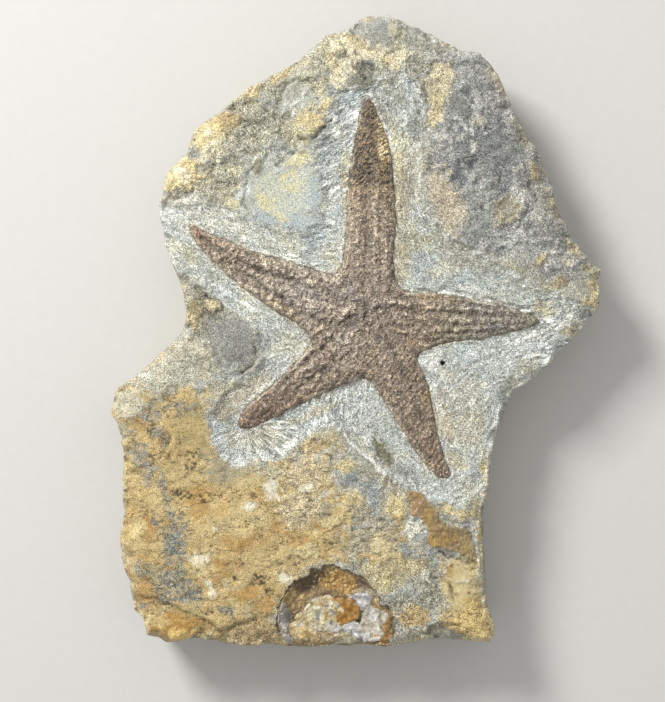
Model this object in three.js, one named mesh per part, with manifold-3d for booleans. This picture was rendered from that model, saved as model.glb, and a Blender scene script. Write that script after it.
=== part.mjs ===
// A fossil starfish in relief on a rough slab of calcareous mudstone. The slab also holds a vein of
// brown calcite and, at its lower edge, an open vug with a crust of crystals and lumps of calcite.
// Millimetres. The slab lies on its flat back: +Z is the fossil's side, +Y the slab's long way.
// The origin is the centre of the slab's outline, on the back face.
import Module from "manifold-3d";
import * as THREE from "three";
import { mergeVertices } from "three/addons/utils/BufferGeometryUtils.js";

const wasm = await Module();
wasm.setup();

// ---------- driving dimensions ----------
const faceLevel = 24; // back face to the mean level of the bedding face
const seatGap = 0.3; // room left round every piece that sits in another
const bayDepth = 1.5; // how far the rock round the starfish is worn down
const bayReach = 8; // worn ground beyond the starfish's outline
const bayFade = 5; // and the slope back up to the bedding face
const edgeBand = 7; // chipped band along the slab's rim
const edgeDrop = 3.6; // how far the face falls across that band
const starCrown = 2.3; // crown of an arm above the worn ground
const starRoot = 3.2; // depth of the starfish below the worn ground
const armShoulder = 3; // how quickly an arm rises from its edge
const grooveWidth = 1.3;
const grooveDepth = 0.7;
const veinDepth = 3;
const veinSunk = 0.5; // the vein's face lies this far below the rock's
const slabCell = 4.4; // grid of the slab's face
const starCell = 2.2; // grid of the starfish
const veinCell = 2.6;
const cutterTop = 40; // every cutting prism reaches well above the face
const footDepth = -1; // and every height block's foot lies below what it is cut with
const broadRipple = { height: 1.1, length: 15 }; // unevenness of the split face
const fineRipple = { height: 0.7, length: 6 };

const starBottom = faceLevel - bayDepth - starRoot;
const veinBottom = faceLevel - veinDepth;

// Outline of the slab at its widest, counter-clockwise from the top.
const slabOutline = [
  [8.5, 92.5], [2.5, 91.5], [-2.5, 88], [-8.5, 86], [-18.5, 77.5], [-23, 75], [-31.5, 70.5], [-38, 65],
  [-47.5, 59], [-49, 52.5], [-55, 46.5], [-57.5, 36], [-56, 26], [-50.5, 11.5], [-49.5, 5.5], [-51.5, -1.5],
  [-58, -7.5], [-66, -14.5], [-70, -17.5], [-71.5, -24], [-68.5, -31], [-68, -44], [-68, -54], [-69.5, -62],
  [-66, -74], [-64.5, -81.5], [-62, -84], [-61, -89], [-55, -91], [-46, -89.5], [-38.5, -91.5], [-26, -92],
  [-13.5, -92.5], [-1.5, -91], [10.5, -92], [21, -90.5], [31.5, -90.5], [39, -91], [41, -88.5], [39, -81.5],
  [38.5, -68], [38, -51.5], [39.5, -38], [43, -25], [46, -17.5], [53.5, -13], [60, -5.5], [71, 6],
  [71.5, 18], [63, 27], [59, 35], [55, 49], [47, 62.5], [41.5, 74.5], [36, 81], [30, 82],
  [22, 86.5], [13.5, 90],
];

// Heights of the slab's wall and how far the wall stands back from the outline there.
const wallRings = [
  { z: 0, inset: 3 },
  { z: 5, inset: 1.6 },
  { z: 10, inset: 0.9 },
  { z: 15, inset: 0.4 },
  { z: 19, inset: 0 },
  { z: 30, inset: 1.6 },
];
const wallRoughness = 1.8; // most that a chip adds to the inset, away from the widest ring

// Swells and hollows of the face: centre, radius and rise.
const faceSwells = [
  { x: -38, y: -58, radius: 34, rise: 1.1 }, // sheet of ochre bedding
  { x: 12, y: -70, radius: 16, rise: -0.8 },
  { x: 30, y: -78, radius: 12, rise: 0.9 },
  { x: 34, y: 58, radius: 13, rise: 1.4 }, // ridges of the upper right
  { x: 22, y: 66, radius: 7, rise: -1.6 },
  { x: 52, y: 20, radius: 14, rise: 0.9 },
  { x: -22, y: 40, radius: 14, rise: -1.3 }, // smooth bowl above the left arm
  { x: -13, y: 59, radius: 6, rise: 1.5 }, // nodule
  { x: 3, y: 76, radius: 5, rise: -2.2 }, // dark hollow under the top peak
  { x: 8, y: 86, radius: 7, rise: 1.2 },
  { x: -46, y: 4, radius: 9, rise: -2.4 }, // notch on the left
  { x: -66, y: -24, radius: 9, rise: 1 },
];

// Outline of the starfish, counter-clockwise from the tip of its top arm. Five arms, five crotches.
const starOutline = [
  [3.5, 68], [1, 63.5], [-0.5, 55], [-2, 47.5], [-3, 40], [-3.2, 30.5], [-4, 23.5], [-5.2, 16.8],
  [-11.5, 17.5], [-20.5, 20.5], [-28.5, 22.5], [-36, 25.5], [-43.5, 28.5], [-48.5, 31],
  [-46.5, 25.5], [-42.5, 21], [-36, 15], [-28.5, 9], [-22.5, 5], [-17, 1.5], [-13.5, -2.2],
  [-16, -7], [-20.5, -12.5], [-26.5, -18.5], [-32, -23.5], [-34, -27], [-33.3, -28.6], [-28.5, -27.5],
  [-20.5, -23.5], [-13, -20], [-5.5, -16.5], [2, -14],
  [5, -16], [9.5, -23], [13.5, -29], [18, -36], [22.5, -41.5], [25.5, -43], [27.6, -41.6], [25.5, -36],
  [24, -29.5], [22.5, -22], [20.5, -14], [18, -7.5],
  [24.5, -4], [36, -2.5], [44, -0.5], [50.5, 1], [53, 3.5], [47.5, 6], [40, 8.5], [32.5, 10],
  [24.5, 11], [13.5, 12],
  [11, 19.5], [11.5, 27], [11.5, 34.5], [11, 42], [10.5, 50.5], [9, 57.5], [5.5, 65],
];
const starOutlineSteps = 112;
const starCentre = [3, 7];
const armTips = [[3.5, 66], [-46.5, 29], [-32.5, -27], [25, -41], [51, 3.5]];

// Vein of brown calcite, cut across by the bedding face.
const veinOutline = [
  [14.5, -46.5], [15.5, -53], [20, -57.5], [20.5, -62], [34.2, -66], [34, -60], [32, -57],
  [25.5, -55.5], [21.5, -50.5], [19, -46.5],
];

// The vug is half an ellipsoid, open upwards and through the lower wall.
const vugCentre = [-6.5, -84, faceLevel];
const vugRadii = [16.5, 16, 11];
const hollowCentre = [-6, -90.5, faceLevel + 8]; // room inside the crystal crust
const hollowRadii = [17, 19.5, 16.5];
const druseSpan = [20, 160]; // degrees round the vug over which crystals stand on the crust
const druseSpacing = 18;
const druseRows = [0.66, 0.98]; // angle down the crust's wall of each row, in radians
const crystalRadius = 1.6;
const crystalStretch = 2.4; // length over radius
const pinHole = { centre: [25, -9.5], radius: 0.6, depth: 3 }; // small round hole under the right arm

const lumpKnobs = { least: 0.82, spread: 0.3 }; // share of its radius that a corner of a lump stands out

// Lumps of calcite on the floor of the vug: centre, radii and turn about Z.
const vugLumps = [
  { node: "vug_amber_crystal", centre: [-3, -82.6, 19], radii: [3.6, 3.6, 5], turn: 0.4, colour: 0xb5751f },
  { node: "vug_cream_lump", centre: [-11, -83, 19], radii: [4, 4.6, 5.4], turn: -0.2, colour: 0xd9cba6 },
  { node: "vug_white_lump", centre: [2.4, -79.6, 20], radii: [3.8, 3, 4.6], turn: 0.3, colour: 0xe4e1d8 },
  { node: "vug_cream_block", centre: [-15, -88, 20], radii: [4, 3.4, 5], turn: 0.5, colour: 0xcfae6d },
  { node: "vug_grey_lump", centre: [-2.4, -88.6, 18.4], radii: [5, 2.8, 5], turn: 0.1, colour: 0xb9bab4 },
  { node: "vug_rust_column", centre: [7, -86.6, 20], radii: [2.6, 5, 5], turn: -0.1, colour: 0xa9712d },
];

// ---------- solids ----------
function solidOf(geometry) {
  geometry.deleteAttribute("normal");
  geometry.deleteAttribute("uv");
  const merged = mergeVertices(geometry, 1e-4);
  const mesh = new wasm.Mesh({
    numProp: 3,
    vertProperties: new Float32Array(merged.attributes.position.array),
    triVerts: new Uint32Array(merged.index.array),
  });
  return new wasm.Manifold(mesh);
}

function geometryOf(solid) {
  const { vertProperties, triVerts, numProp } = solid.getMesh();
  const positions = new Float32Array((vertProperties.length / numProp) * 3);
  for (let index = 0; index < positions.length; index++) {
    positions[index] = vertProperties[Math.floor(index / 3) * numProp + (index % 3)];
  }
  const geometry = new THREE.BufferGeometry();
  geometry.setAttribute("position", new THREE.BufferAttribute(positions, 3));
  geometry.setIndex(Array.from(triVerts));
  geometry.computeVertexNormals();
  return geometry;
}

function indexedSolid(points, triangles) {
  const geometry = new THREE.BufferGeometry();
  geometry.setAttribute("position", new THREE.BufferAttribute(new Float32Array(points.flat()), 3));
  geometry.setIndex(triangles.flat());
  return solidOf(geometry);
}

function prism(outline, bottom, top) {
  const shape = new THREE.Shape(outline.map(([x, y]) => new THREE.Vector2(x, y)));
  const geometry = new THREE.ExtrudeGeometry(shape, { depth: top - bottom, bevelEnabled: false });
  geometry.translate(0, 0, bottom);
  return solidOf(geometry);
}

// A block whose top is heightAt(x, y), on a grid over the outline's box, and whose bottom is flat.
function heightBlock(outline, cell, bottom, heightAt) {
  const margin = cell;
  const xs = outline.map(([x]) => x);
  const ys = outline.map(([, y]) => y);
  const [left, low] = [Math.min(...xs) - margin, Math.min(...ys) - margin];
  const columns = Math.ceil((Math.max(...xs) + margin - left) / cell);
  const rows = Math.ceil((Math.max(...ys) + margin - low) / cell);
  const points = [];
  for (let row = 0; row <= rows; row++) {
    for (let column = 0; column <= columns; column++) {
      const [x, y] = [left + column * cell, low + row * cell];
      points.push([x, y, heightAt(x, y)]);
    }
  }
  const at = (column, row) => row * (columns + 1) + column;
  const triangles = [];
  for (let row = 0; row < rows; row++) {
    for (let column = 0; column < columns; column++) {
      const [a, b] = [at(column, row), at(column + 1, row)];
      const [c, d] = [at(column + 1, row + 1), at(column, row + 1)];
      triangles.push([a, b, c], [a, c, d]);
    }
  }
  const border = [];
  for (let column = 0; column < columns; column++) border.push(at(column, 0));
  for (let row = 0; row < rows; row++) border.push(at(columns, row));
  for (let column = columns; column > 0; column--) border.push(at(column, rows));
  for (let row = rows; row > 0; row--) border.push(at(0, row));
  const foot = points.length;
  for (const top of border) points.push([points[top][0], points[top][1], bottom]);
  const middle = points.length;
  points.push([left + (columns * cell) / 2, low + (rows * cell) / 2, bottom]);
  for (let step = 0; step < border.length; step++) {
    const next = (step + 1) % border.length;
    triangles.push([border[step], foot + step, foot + next], [border[step], foot + next, border[next]]);
    triangles.push([middle, foot + next, foot + step]);
  }
  return indexedSolid(points, triangles);
}

// Stacks outlines with the same number of points into one closed wall with a flat cap at each end.
function loft(rings) {
  const count = rings[0].outline.length;
  const points = rings.flatMap(({ outline, z }) => outline.map(([x, y]) => [x, y, z]));
  const triangles = [];
  for (let ring = 0; ring + 1 < rings.length; ring++) {
    for (let step = 0; step < count; step++) {
      const next = (step + 1) % count;
      const [a, b] = [ring * count + step, ring * count + next];
      triangles.push([a, b, b + count], [a, b + count, a + count]);
    }
  }
  const capOf = (ring) => {
    const flat = rings[ring].outline.map(([x, y]) => new THREE.Vector2(x, y));
    const faces = THREE.ShapeUtils.triangulateShape(flat, []);
    return faces.map((face) => face.map((index) => ring * count + index));
  };
  for (const face of capOf(0)) triangles.push([...face].reverse());
  for (const face of capOf(rings.length - 1)) triangles.push(face);
  return indexedSolid(points, triangles);
}

function ellipsoid(centre, radii, grow = 0) {
  const geometry = new THREE.IcosahedronGeometry(1, 3);
  geometry.scale(...radii.map((radius) => radius + grow));
  geometry.translate(...centre);
  return solidOf(geometry);
}

// ---------- shapes of the ground ----------
function smoothStep(from, to, value) {
  return THREE.MathUtils.smoothstep(value, from, to);
}

// Distance from a point to a closed outline, positive inside.
function depthInside(x, y, outline) {
  let nearest = Infinity;
  let inside = false;
  for (let index = 0; index < outline.length; index++) {
    const [ax, ay] = outline[index];
    const [bx, by] = outline[(index + 1) % outline.length];
    const [dx, dy] = [bx - ax, by - ay];
    const along = THREE.MathUtils.clamp(((x - ax) * dx + (y - ay) * dy) / (dx * dx + dy * dy), 0, 1);
    nearest = Math.min(nearest, Math.hypot(x - ax - along * dx, y - ay - along * dy));
    if (ay > y !== by > y && x < ax + ((y - ay) * dx) / dy) inside = !inside;
  }
  return inside ? nearest : -nearest;
}

// Moves every point of a counter-clockwise outline outwards, along the mean of its two edges' normals.
function offsetOutline(outline, reach) {
  const count = outline.length;
  return outline.map(([x, y], index) => {
    const [ax, ay] = outline[(index + count - 1) % count];
    const [bx, by] = outline[(index + 1) % count];
    const before = new THREE.Vector2(y - ay, ax - x).normalize();
    const after = new THREE.Vector2(by - y, x - bx).normalize();
    const out = before.add(after).normalize();
    return [x + out.x * reach, y + out.y * reach];
  });
}

// Moves every point of an outline towards the origin, which every part of the slab's outline faces.
function drawIn(outline, distanceAt) {
  return outline.map(([x, y], index) => {
    const share = 1 - distanceAt(index) / Math.hypot(x, y);
    return [x * share, y * share];
  });
}

// Repeatable random number from 0 to 1 for a pair of whole numbers.
function scatter(first, second) {
  const wave = Math.sin(first * 127.1 + second * 311.7) * 43758.5453;
  return wave - Math.floor(wave);
}

function ripple(x, y, wavelength) {
  const [column, row] = [Math.floor(x / wavelength), Math.floor(y / wavelength)];
  const [u, v] = [smoothStep(0, 1, x / wavelength - column), smoothStep(0, 1, y / wavelength - row)];
  const low = THREE.MathUtils.lerp(scatter(column, row), scatter(column + 1, row), u);
  const high = THREE.MathUtils.lerp(scatter(column, row + 1), scatter(column + 1, row + 1), u);
  return THREE.MathUtils.lerp(low, high, v) - 0.5;
}

const starCurve = new THREE.CatmullRomCurve3(
  starOutline.map(([x, y]) => new THREE.Vector3(x, y, 0)), true, "centripetal",
);
const starEdge = starCurve.getSpacedPoints(starOutlineSteps).slice(0, -1).map(({ x, y }) => [x, y]);

function faceHeight(x, y) {
  let height = faceLevel + broadRipple.height * ripple(x, y, broadRipple.length);
  height += fineRipple.height * ripple(x, y, fineRipple.length);
  for (const swell of faceSwells) {
    height += swell.rise * Math.exp(-(((x - swell.x) ** 2 + (y - swell.y) ** 2) / swell.radius ** 2));
  }
  const worn = smoothStep(-bayReach - bayFade, -bayReach, depthInside(x, y, starEdge));
  height = THREE.MathUtils.lerp(height, faceLevel - bayDepth, worn);
  const fromRim = depthInside(x, y, slabOutline);
  return height - edgeDrop * (1 - smoothStep(0, edgeBand, fromRim));
}

function starHeight(x, y) {
  const depth = Math.max(0, depthInside(x, y, starEdge));
  let nearestAxis = Infinity;
  for (const [tipX, tipY] of armTips) {
    const [dx, dy] = [tipX - starCentre[0], tipY - starCentre[1]];
    const along = ((x - starCentre[0]) * dx + (y - starCentre[1]) * dy) / (dx * dx + dy * dy);
    const clamped = THREE.MathUtils.clamp(along, 0, 0.85);
    nearestAxis = Math.min(
      nearestAxis, Math.hypot(x - starCentre[0] - clamped * dx, y - starCentre[1] - clamped * dy),
    );
  }
  const groove = grooveDepth * Math.exp(-((nearestAxis / grooveWidth) ** 2));
  const crown = starCrown * (1 - Math.exp(-depth / armShoulder));
  return faceLevel - bayDepth + crown - groove * smoothStep(0, armShoulder, depth);
}

// ---------- pieces ----------
const wallAt = (clearance) => loft(wallRings.map(({ z, inset }, ring) => {
  const rough = inset === 0 ? 0 : wallRoughness;
  const outline = drawIn(slabOutline, (index) => inset + rough * scatter(index, ring) + clearance);
  return { outline, z };
}));

function buildPinHole() {
  const geometry = new THREE.CylinderGeometry(pinHole.radius, pinHole.radius, 2 * pinHole.depth, 10);
  geometry.rotateX(Math.PI / 2);
  geometry.translate(...pinHole.centre, faceLevel - bayDepth);
  return solidOf(geometry);
}

function buildSlab() {
  const ground = heightBlock(slabOutline, slabCell, footDepth, faceHeight);
  const seatFor = (outline, bottom) => prism(offsetOutline(outline, seatGap), bottom - seatGap, cutterTop);
  const starSeat = seatFor(starEdge, starBottom);
  const veinSeat = seatFor(veinOutline, veinBottom);
  return wallAt(0).intersect(ground).subtract(starSeat).subtract(veinSeat)
    .subtract(ellipsoid(vugCentre, vugRadii)).subtract(buildPinHole());
}

function buildStarfish() {
  const edge = prism(starEdge, footDepth, cutterTop);
  return heightBlock(starEdge, starCell, starBottom, starHeight).intersect(edge);
}

function buildVein() {
  const surface = (x, y) => faceHeight(x, y) - veinSunk;
  const edge = prism(veinOutline, footDepth, cutterTop);
  return heightBlock(veinOutline, veinCell, veinBottom, surface).intersect(edge);
}

// The part of space that is inside both the slab's wall and its face, with a little clearance from both.
function withinSlab() {
  const surface = (x, y) => faceHeight(x, y) - seatGap;
  return wallAt(seatGap).intersect(heightBlock(slabOutline, slabCell, footDepth, surface));
}

// One blunt calcite crystal: a six-sided point, standing on the crust and leaning into the hollow.
function druseCrystal(around, down, size) {
  const direction = new THREE.Vector3(
    Math.cos(around) * Math.cos(down), Math.sin(around) * Math.cos(down), -Math.sin(down),
  );
  const radii = new THREE.Vector3(...hollowRadii);
  const foot = direction.clone().multiply(radii).add(new THREE.Vector3(...hollowCentre));
  const geometry = new THREE.ConeGeometry(size, size * crystalStretch, 6);
  geometry.applyQuaternion(
    new THREE.Quaternion().setFromUnitVectors(new THREE.Vector3(0, 1, 0), direction.clone().negate()),
  );
  geometry.translate(foot.x, foot.y, foot.z);
  return solidOf(geometry);
}

function buildDruse(limits) {
  const bed = ellipsoid(vugCentre, vugRadii, -seatGap);
  let druse = bed.subtract(ellipsoid(hollowCentre, hollowRadii));
  for (const down of druseRows) {
    for (let turn = druseSpan[0]; turn <= druseSpan[1]; turn += druseSpacing) {
      const jitter = scatter(turn, down * 10);
      const around = THREE.MathUtils.degToRad(turn + (druseSpacing / 2) * jitter);
      druse = druse.add(druseCrystal(around, down, crystalRadius * (1 + jitter / 2)));
    }
  }
  return druse.intersect(bed).intersect(limits);
}

function lumpSolid({ centre, radii, turn }, seed, grow) {
  const geometry = new THREE.IcosahedronGeometry(1, 1);
  const position = geometry.attributes.position;
  const point = new THREE.Vector3();
  for (let index = 0; index < position.count; index++) {
    point.fromBufferAttribute(position, index);
    const [first, second] = [Math.round(point.x * 20) + seed, Math.round(point.y * 20 + point.z * 50)];
    point.multiplyScalar(lumpKnobs.least + lumpKnobs.spread * scatter(first, second));
    position.setXYZ(index, point.x, point.y, point.z);
  }
  geometry.scale(...radii.map((radius) => radius + grow));
  geometry.rotateZ(turn);
  geometry.translate(...centre);
  return solidOf(geometry);
}

// Each lump rests in the hollow of the crust and is cut back from the crystals and lumps beside it.
function buildLumps(limits, druse) {
  const floor = ellipsoid(hollowCentre, hollowRadii, -seatGap).intersect(limits);
  let taken = druse;
  return vugLumps.map((lump, seed) => {
    const solid = lumpSolid(lump, seed, 0).intersect(floor).subtract(taken);
    taken = taken.add(lumpSolid(lump, seed, seatGap * 1.5));
    return solid;
  });
}

function addPiece(group, name, solid, colour, roughness) {
  const material = new THREE.MeshStandardMaterial({ color: colour, roughness, metalness: 0 });
  const mesh = new THREE.Mesh(geometryOf(solid), material);
  mesh.name = name;
  group.add(mesh);
}

const fossil = new THREE.Group();
const limits = withinSlab();
const druse = buildDruse(limits);
addPiece(fossil, "matrix_slab", buildSlab(), 0xa39b86, 0.95);
addPiece(fossil, "starfish", buildStarfish(), 0x6e5646, 0.85);
addPiece(fossil, "calcite_vein", buildVein(), 0x8a6a3a, 0.35);
addPiece(fossil, "vug_druse", druse, 0x8c6c3c, 0.3);
buildLumps(limits, druse).forEach((solid, index) => {
  addPiece(fossil, vugLumps[index].node, solid, vugLumps[index].colour, 0.4);
});

export default fossil;
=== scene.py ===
import itertools
import math
from functools import partial
from types import SimpleNamespace

import bpy
import numpy as np
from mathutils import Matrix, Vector
from mathutils.geometry import delaunay_2d_cdt


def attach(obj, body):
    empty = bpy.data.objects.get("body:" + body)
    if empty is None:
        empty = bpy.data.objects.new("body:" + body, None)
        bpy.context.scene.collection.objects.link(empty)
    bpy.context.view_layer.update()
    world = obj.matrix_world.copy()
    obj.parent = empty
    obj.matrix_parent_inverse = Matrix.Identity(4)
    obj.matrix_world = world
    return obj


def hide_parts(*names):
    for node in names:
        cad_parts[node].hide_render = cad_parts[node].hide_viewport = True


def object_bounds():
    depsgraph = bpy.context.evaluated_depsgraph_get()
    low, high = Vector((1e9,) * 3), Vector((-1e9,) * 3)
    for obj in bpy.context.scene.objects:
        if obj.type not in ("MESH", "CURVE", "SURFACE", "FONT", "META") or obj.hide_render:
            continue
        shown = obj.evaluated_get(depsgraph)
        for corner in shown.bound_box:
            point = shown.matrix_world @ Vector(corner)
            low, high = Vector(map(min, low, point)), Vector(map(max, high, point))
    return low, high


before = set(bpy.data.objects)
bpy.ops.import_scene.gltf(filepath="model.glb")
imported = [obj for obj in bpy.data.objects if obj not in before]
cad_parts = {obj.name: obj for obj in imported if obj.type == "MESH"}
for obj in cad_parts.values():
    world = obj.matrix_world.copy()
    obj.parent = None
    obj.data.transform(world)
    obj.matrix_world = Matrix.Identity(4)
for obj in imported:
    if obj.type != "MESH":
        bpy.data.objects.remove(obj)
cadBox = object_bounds()
print("frame:", sorted(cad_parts))

# Lengths are in millimetres until a mesh is made. The slab lies on its back, face up, long side along Y.
metre = 1000
boxLow = np.array(cadBox[0]) * metre
boxHigh = np.array(cadBox[1]) * metre

view = {
    "distance": 600,          # lens to fossil
    "aim": (-6.8, -6.0),      # middle of the picture on the slab
    "fossilLevel": 23.5,
    "pictureHeight": 203.5,   # how much of the slab's length the picture takes in
    "sensor": 36,
}
camera = bpy.data.objects.new("camera", bpy.data.cameras.new("camera"))
bpy.context.scene.collection.objects.link(camera)
camera.location = Vector((*view["aim"], view["fossilLevel"] + view["distance"])) / metre
camera.data.sensor_width = view["sensor"]
camera.data.lens = view["sensor"] * view["distance"] / view["pictureHeight"]
bpy.context.scene.camera = camera
print("camera set")


def hexColour(text):   # sRGB hex to linear
    channels = np.array([int(text[i:i + 2], 16) / 255 for i in (1, 3, 5)])
    return np.where(channels <= 0.04045, channels / 12.92, ((channels + 0.055) / 1.055) ** 2.4)


def socketColour(text):
    return (*hexColour(text), 1)


def perMetre(size):   # noise scale for features of this size in mm
    return metre / size


def ramp(low, high, value):   # 0 up to low and 1 from high on, with a smooth rise between
    t = np.clip((value - low) / (high - low), 0, 1)
    return t * t * (3 - 2 * t)


def softCeiling(value, highest, sharpness):   # values that near the highest flatten out below it
    return highest - np.logaddexp(0, sharpness * (highest - value)) / sharpness


def washOver(colours, text, share):   # a colour washed over each point's own, by its share
    return colours * (1 - share[:, None]) + hexColour(text) * share[:, None]


gradientCount = 48     # the noise repeats after this many lumps
gradients = np.random.default_rng(11).normal(size=(gradientCount, gradientCount, gradientCount, 3))
gradients /= np.linalg.norm(gradients, axis=-1, keepdims=True)
scatterCount = 256
scatterTable = np.random.default_rng(12).random((scatterCount, scatterCount, 4))


def flatPlaces(x, y):   # places in the plane, as the noises want them
    return np.column_stack([x, y, np.zeros(len(x))])


def hump(x, y, middleX, middleY, reach):   # 1 in the middle, dying out with distance
    return np.exp(-((x - middleX) ** 2 + (y - middleY) ** 2) / reach ** 2)


def grainNoise(points, size, seed):   # smooth noise with lumps of this size, about -1 to 1
    place = points / size + np.array([5.17, 3.71, 9.43]) * seed
    corner = np.floor(place).astype(int)
    inside = place - corner
    fade = inside ** 3 * (inside * (inside * 6 - 15) + 10)
    total = np.zeros(len(points))
    for step in itertools.product((0, 1), repeat=3):
        i, j, k = ((corner + step) % gradientCount).T
        slope = np.einsum("ij,ij->i", gradients[i, j, k], inside - step)
        total += slope * np.prod(np.where(step, fade, 1 - fade), axis=1)
    return total * 1.9


def roughNoise(points, size, octaves, seed):   # noise on noise, each layer half the size and half as strong
    total = np.zeros(len(points))
    for octave in range(octaves):
        total += 0.5 ** octave * grainNoise(points, size / 2 ** octave, seed + 17 * octave)
    return total


def crackNoise(points, size, octaves, seed):   # sharp crests, 0 to 1
    total = np.zeros(len(points))
    for octave in range(octaves):
        crest = 1 - np.abs(grainNoise(points, size / 2 ** octave, seed + 23 * octave)) * 1.4
        total += 0.5 ** octave * crest
    return np.clip(total / 1.75, 0, 1)


def nearCells(u, v, shift):   # the nine cells round each place: column, row, random values
    column, row = np.floor(u).astype(int), np.floor(v).astype(int)
    for stepU, stepV in itertools.product((-1, 0, 1), repeat=2):
        cellU, cellV = column + stepU, row + stepV
        cell = scatterTable[(cellU + shift[0]) % scatterCount, (cellV + shift[1]) % scatterCount]
        yield cellU, cellV, cell


def grains(u, v, size, seed, shake=0.8):   # packed grains: distance from the middle, random value
    nearest, token = np.full(u.shape, 9.0), np.zeros(u.shape)
    for cellU, cellV, cell in nearCells(u / size, v / size, (seed * 31, seed * 57)):
        away = np.hypot(u / size - cellU - 0.5 - (cell[:, 0] - 0.5) * shake,
                        v / size - cellV - 0.5 - (cell[:, 1] - 0.5) * shake)
        token = np.where(away < nearest, cell[:, 2], token)
        nearest = np.minimum(nearest, away)
    return nearest, token


# three-sided points standing close together: height, and a random value for each face, which is painted on as
# that face's shade
def crystals(x, y, size, seed, steep, uneven=0.8):
    height, shade = np.full(x.shape, -9.0), np.zeros(x.shape)
    for cellX, cellY, cell in nearCells(x / size, y / size, (seed * 37, seed * 53)):
        awayX = x - (cellX + 0.1 + 0.8 * cell[:, 0]) * size
        awayY = y - (cellY + 0.1 + 0.8 * cell[:, 1]) * size
        for side in range(3):
            turn = (cell[:, 2] + side / 3) * 2 * np.pi
            lean = (awayX * np.cos(turn) + awayY * np.sin(turn)) * steep
            fall = lean if side == 0 else np.maximum(fall, lean)
            face = np.zeros(x.shape) + side if side == 0 else np.where(lean >= fall, side, face)
        top = size * (0.3 + uneven * cell[:, 3]) - fall
        shade = np.where(top > height, (cell[:, 2] * 5 + face * 0.37) % 1, shade)
        height = np.maximum(height, top)
    return height, shade


def evenSteps(line, step, closed=False):
    line = np.array(line, float)
    if closed:
        line = np.vstack([line, line[:1]])
    reach = np.r_[0, np.cumsum(np.linalg.norm(np.diff(line, axis=0), axis=1))]
    marks = np.linspace(0, reach[-1], max(2, round(reach[-1] / step)), endpoint=not closed)
    return np.column_stack([np.interp(marks, reach, line[:, i]) for i in (0, 1)])


def smoothLoop(points, step):   # closed smooth curve through the points
    here = np.array(points, float)
    before, after, last = np.roll(here, 1, 0), np.roll(here, -1, 0), np.roll(here, -2, 0)
    t = np.linspace(0, 1, 16, endpoint=False)[:, None, None]
    curve = 0.5 * (2 * here + (after - before) * t + (2 * before - 5 * here + 4 * after - last) * t ** 2
                   + (3 * here - before - 3 * after + last) * t ** 3)
    return evenSteps(curve.transpose(1, 0, 2).reshape(-1, 2), step, closed=True)


def lineDistance(x, y, line, closed=False):   # distance, distance along the line, and side: left is +1
    line = np.array(line, float)
    ends = np.roll(line, -1, 0) if closed else line[1:]
    nearest, along, side = np.full(x.shape, 1e9), np.zeros(x.shape), np.ones(x.shape)
    travelled = 0
    for (ax, ay), (bx, by) in zip(line, ends):
        length = math.hypot(bx - ax, by - ay)
        ux, uy = (bx - ax) / length, (by - ay) / length
        t = np.clip((x - ax) * ux + (y - ay) * uy, 0, length)
        away = np.hypot(x - ax - t * ux, y - ay - t * uy)
        closer = away < nearest
        nearest = np.where(closer, away, nearest)
        along = np.where(closer, travelled + t, along)
        side = np.where(closer, np.where(ux * (y - ay) - uy * (x - ax) >= 0, 1, -1), side)
        travelled += length
    return nearest, along, side


def lineLength(line):
    return sum(math.dist(a, b) for a, b in zip(line, line[1:]))


def insideDistance(x, y, loop):   # distance to a closed line, positive inside
    loop = np.array(loop, float)
    inside = np.zeros(x.shape, bool)
    for (ax, ay), (bx, by) in zip(loop, np.roll(loop, -1, 0)):
        if ay != by:
            crossing = (ay > y) != (by > y)
            inside ^= crossing & (x < (bx - ax) * (y - ay) / (by - ay) + ax)
    away = lineDistance(x, y, loop, closed=True)[0]
    return np.where(inside, away, -away)


def ovalCover(x, y, marks):   # 1 in the middle of the nearest oval mark, 0 on its edge, below 0 outside
    cover = np.full(x.shape, -9.0)
    for markX, markY, reachX, reachY, *turn in marks:   # an oval that isn't turned leaves its turn out
        angle = math.radians(sum(turn))
        c, s = math.cos(angle), math.sin(angle)
        u = ((x - markX) * c + (y - markY) * s) / reachX
        v = ((y - markY) * c - (x - markX) * s) / reachY
        cover = np.maximum(cover, 1 - np.hypot(u, v))
    return cover


def scatterPoints(loop, spacing, margin, seed):   # uneven packing of points inside a closed line
    low, high = loop.min(0), loop.max(0)
    columns = np.arange(low[0], high[0], spacing)
    rows = np.arange(low[1], high[1], spacing * 0.87)
    x, y = np.meshgrid(columns, rows)
    x = x + (np.arange(len(rows)) % 2)[:, None] * spacing / 2
    shake = np.random.default_rng(seed).uniform(-0.3, 0.3, (2,) + x.shape) * spacing
    x, y = (x + shake[0]).ravel(), (y + shake[1]).ravel()
    keep = insideDistance(x, y, loop) > margin
    return np.column_stack([x[keep], y[keep]])


def triangulate(rim, inner):
    places = np.vstack([rim, inner])
    edges = [(i, (i + 1) % len(rim)) for i in range(len(rim))]
    result = delaunay_2d_cdt([Vector(p) for p in places], edges, [], 1, 1e-7)
    triangles = np.array(result[2])
    corners = np.array(result[0])[triangles]
    turn = np.cross(corners[:, 1] - corners[:, 0], corners[:, 2] - corners[:, 0])
    triangles[turn < 0] = triangles[turn < 0][:, ::-1]
    if len(result[0]) != len(places):
        print("  merged points:", len(places) - len(result[0]))
    return triangles


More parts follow.
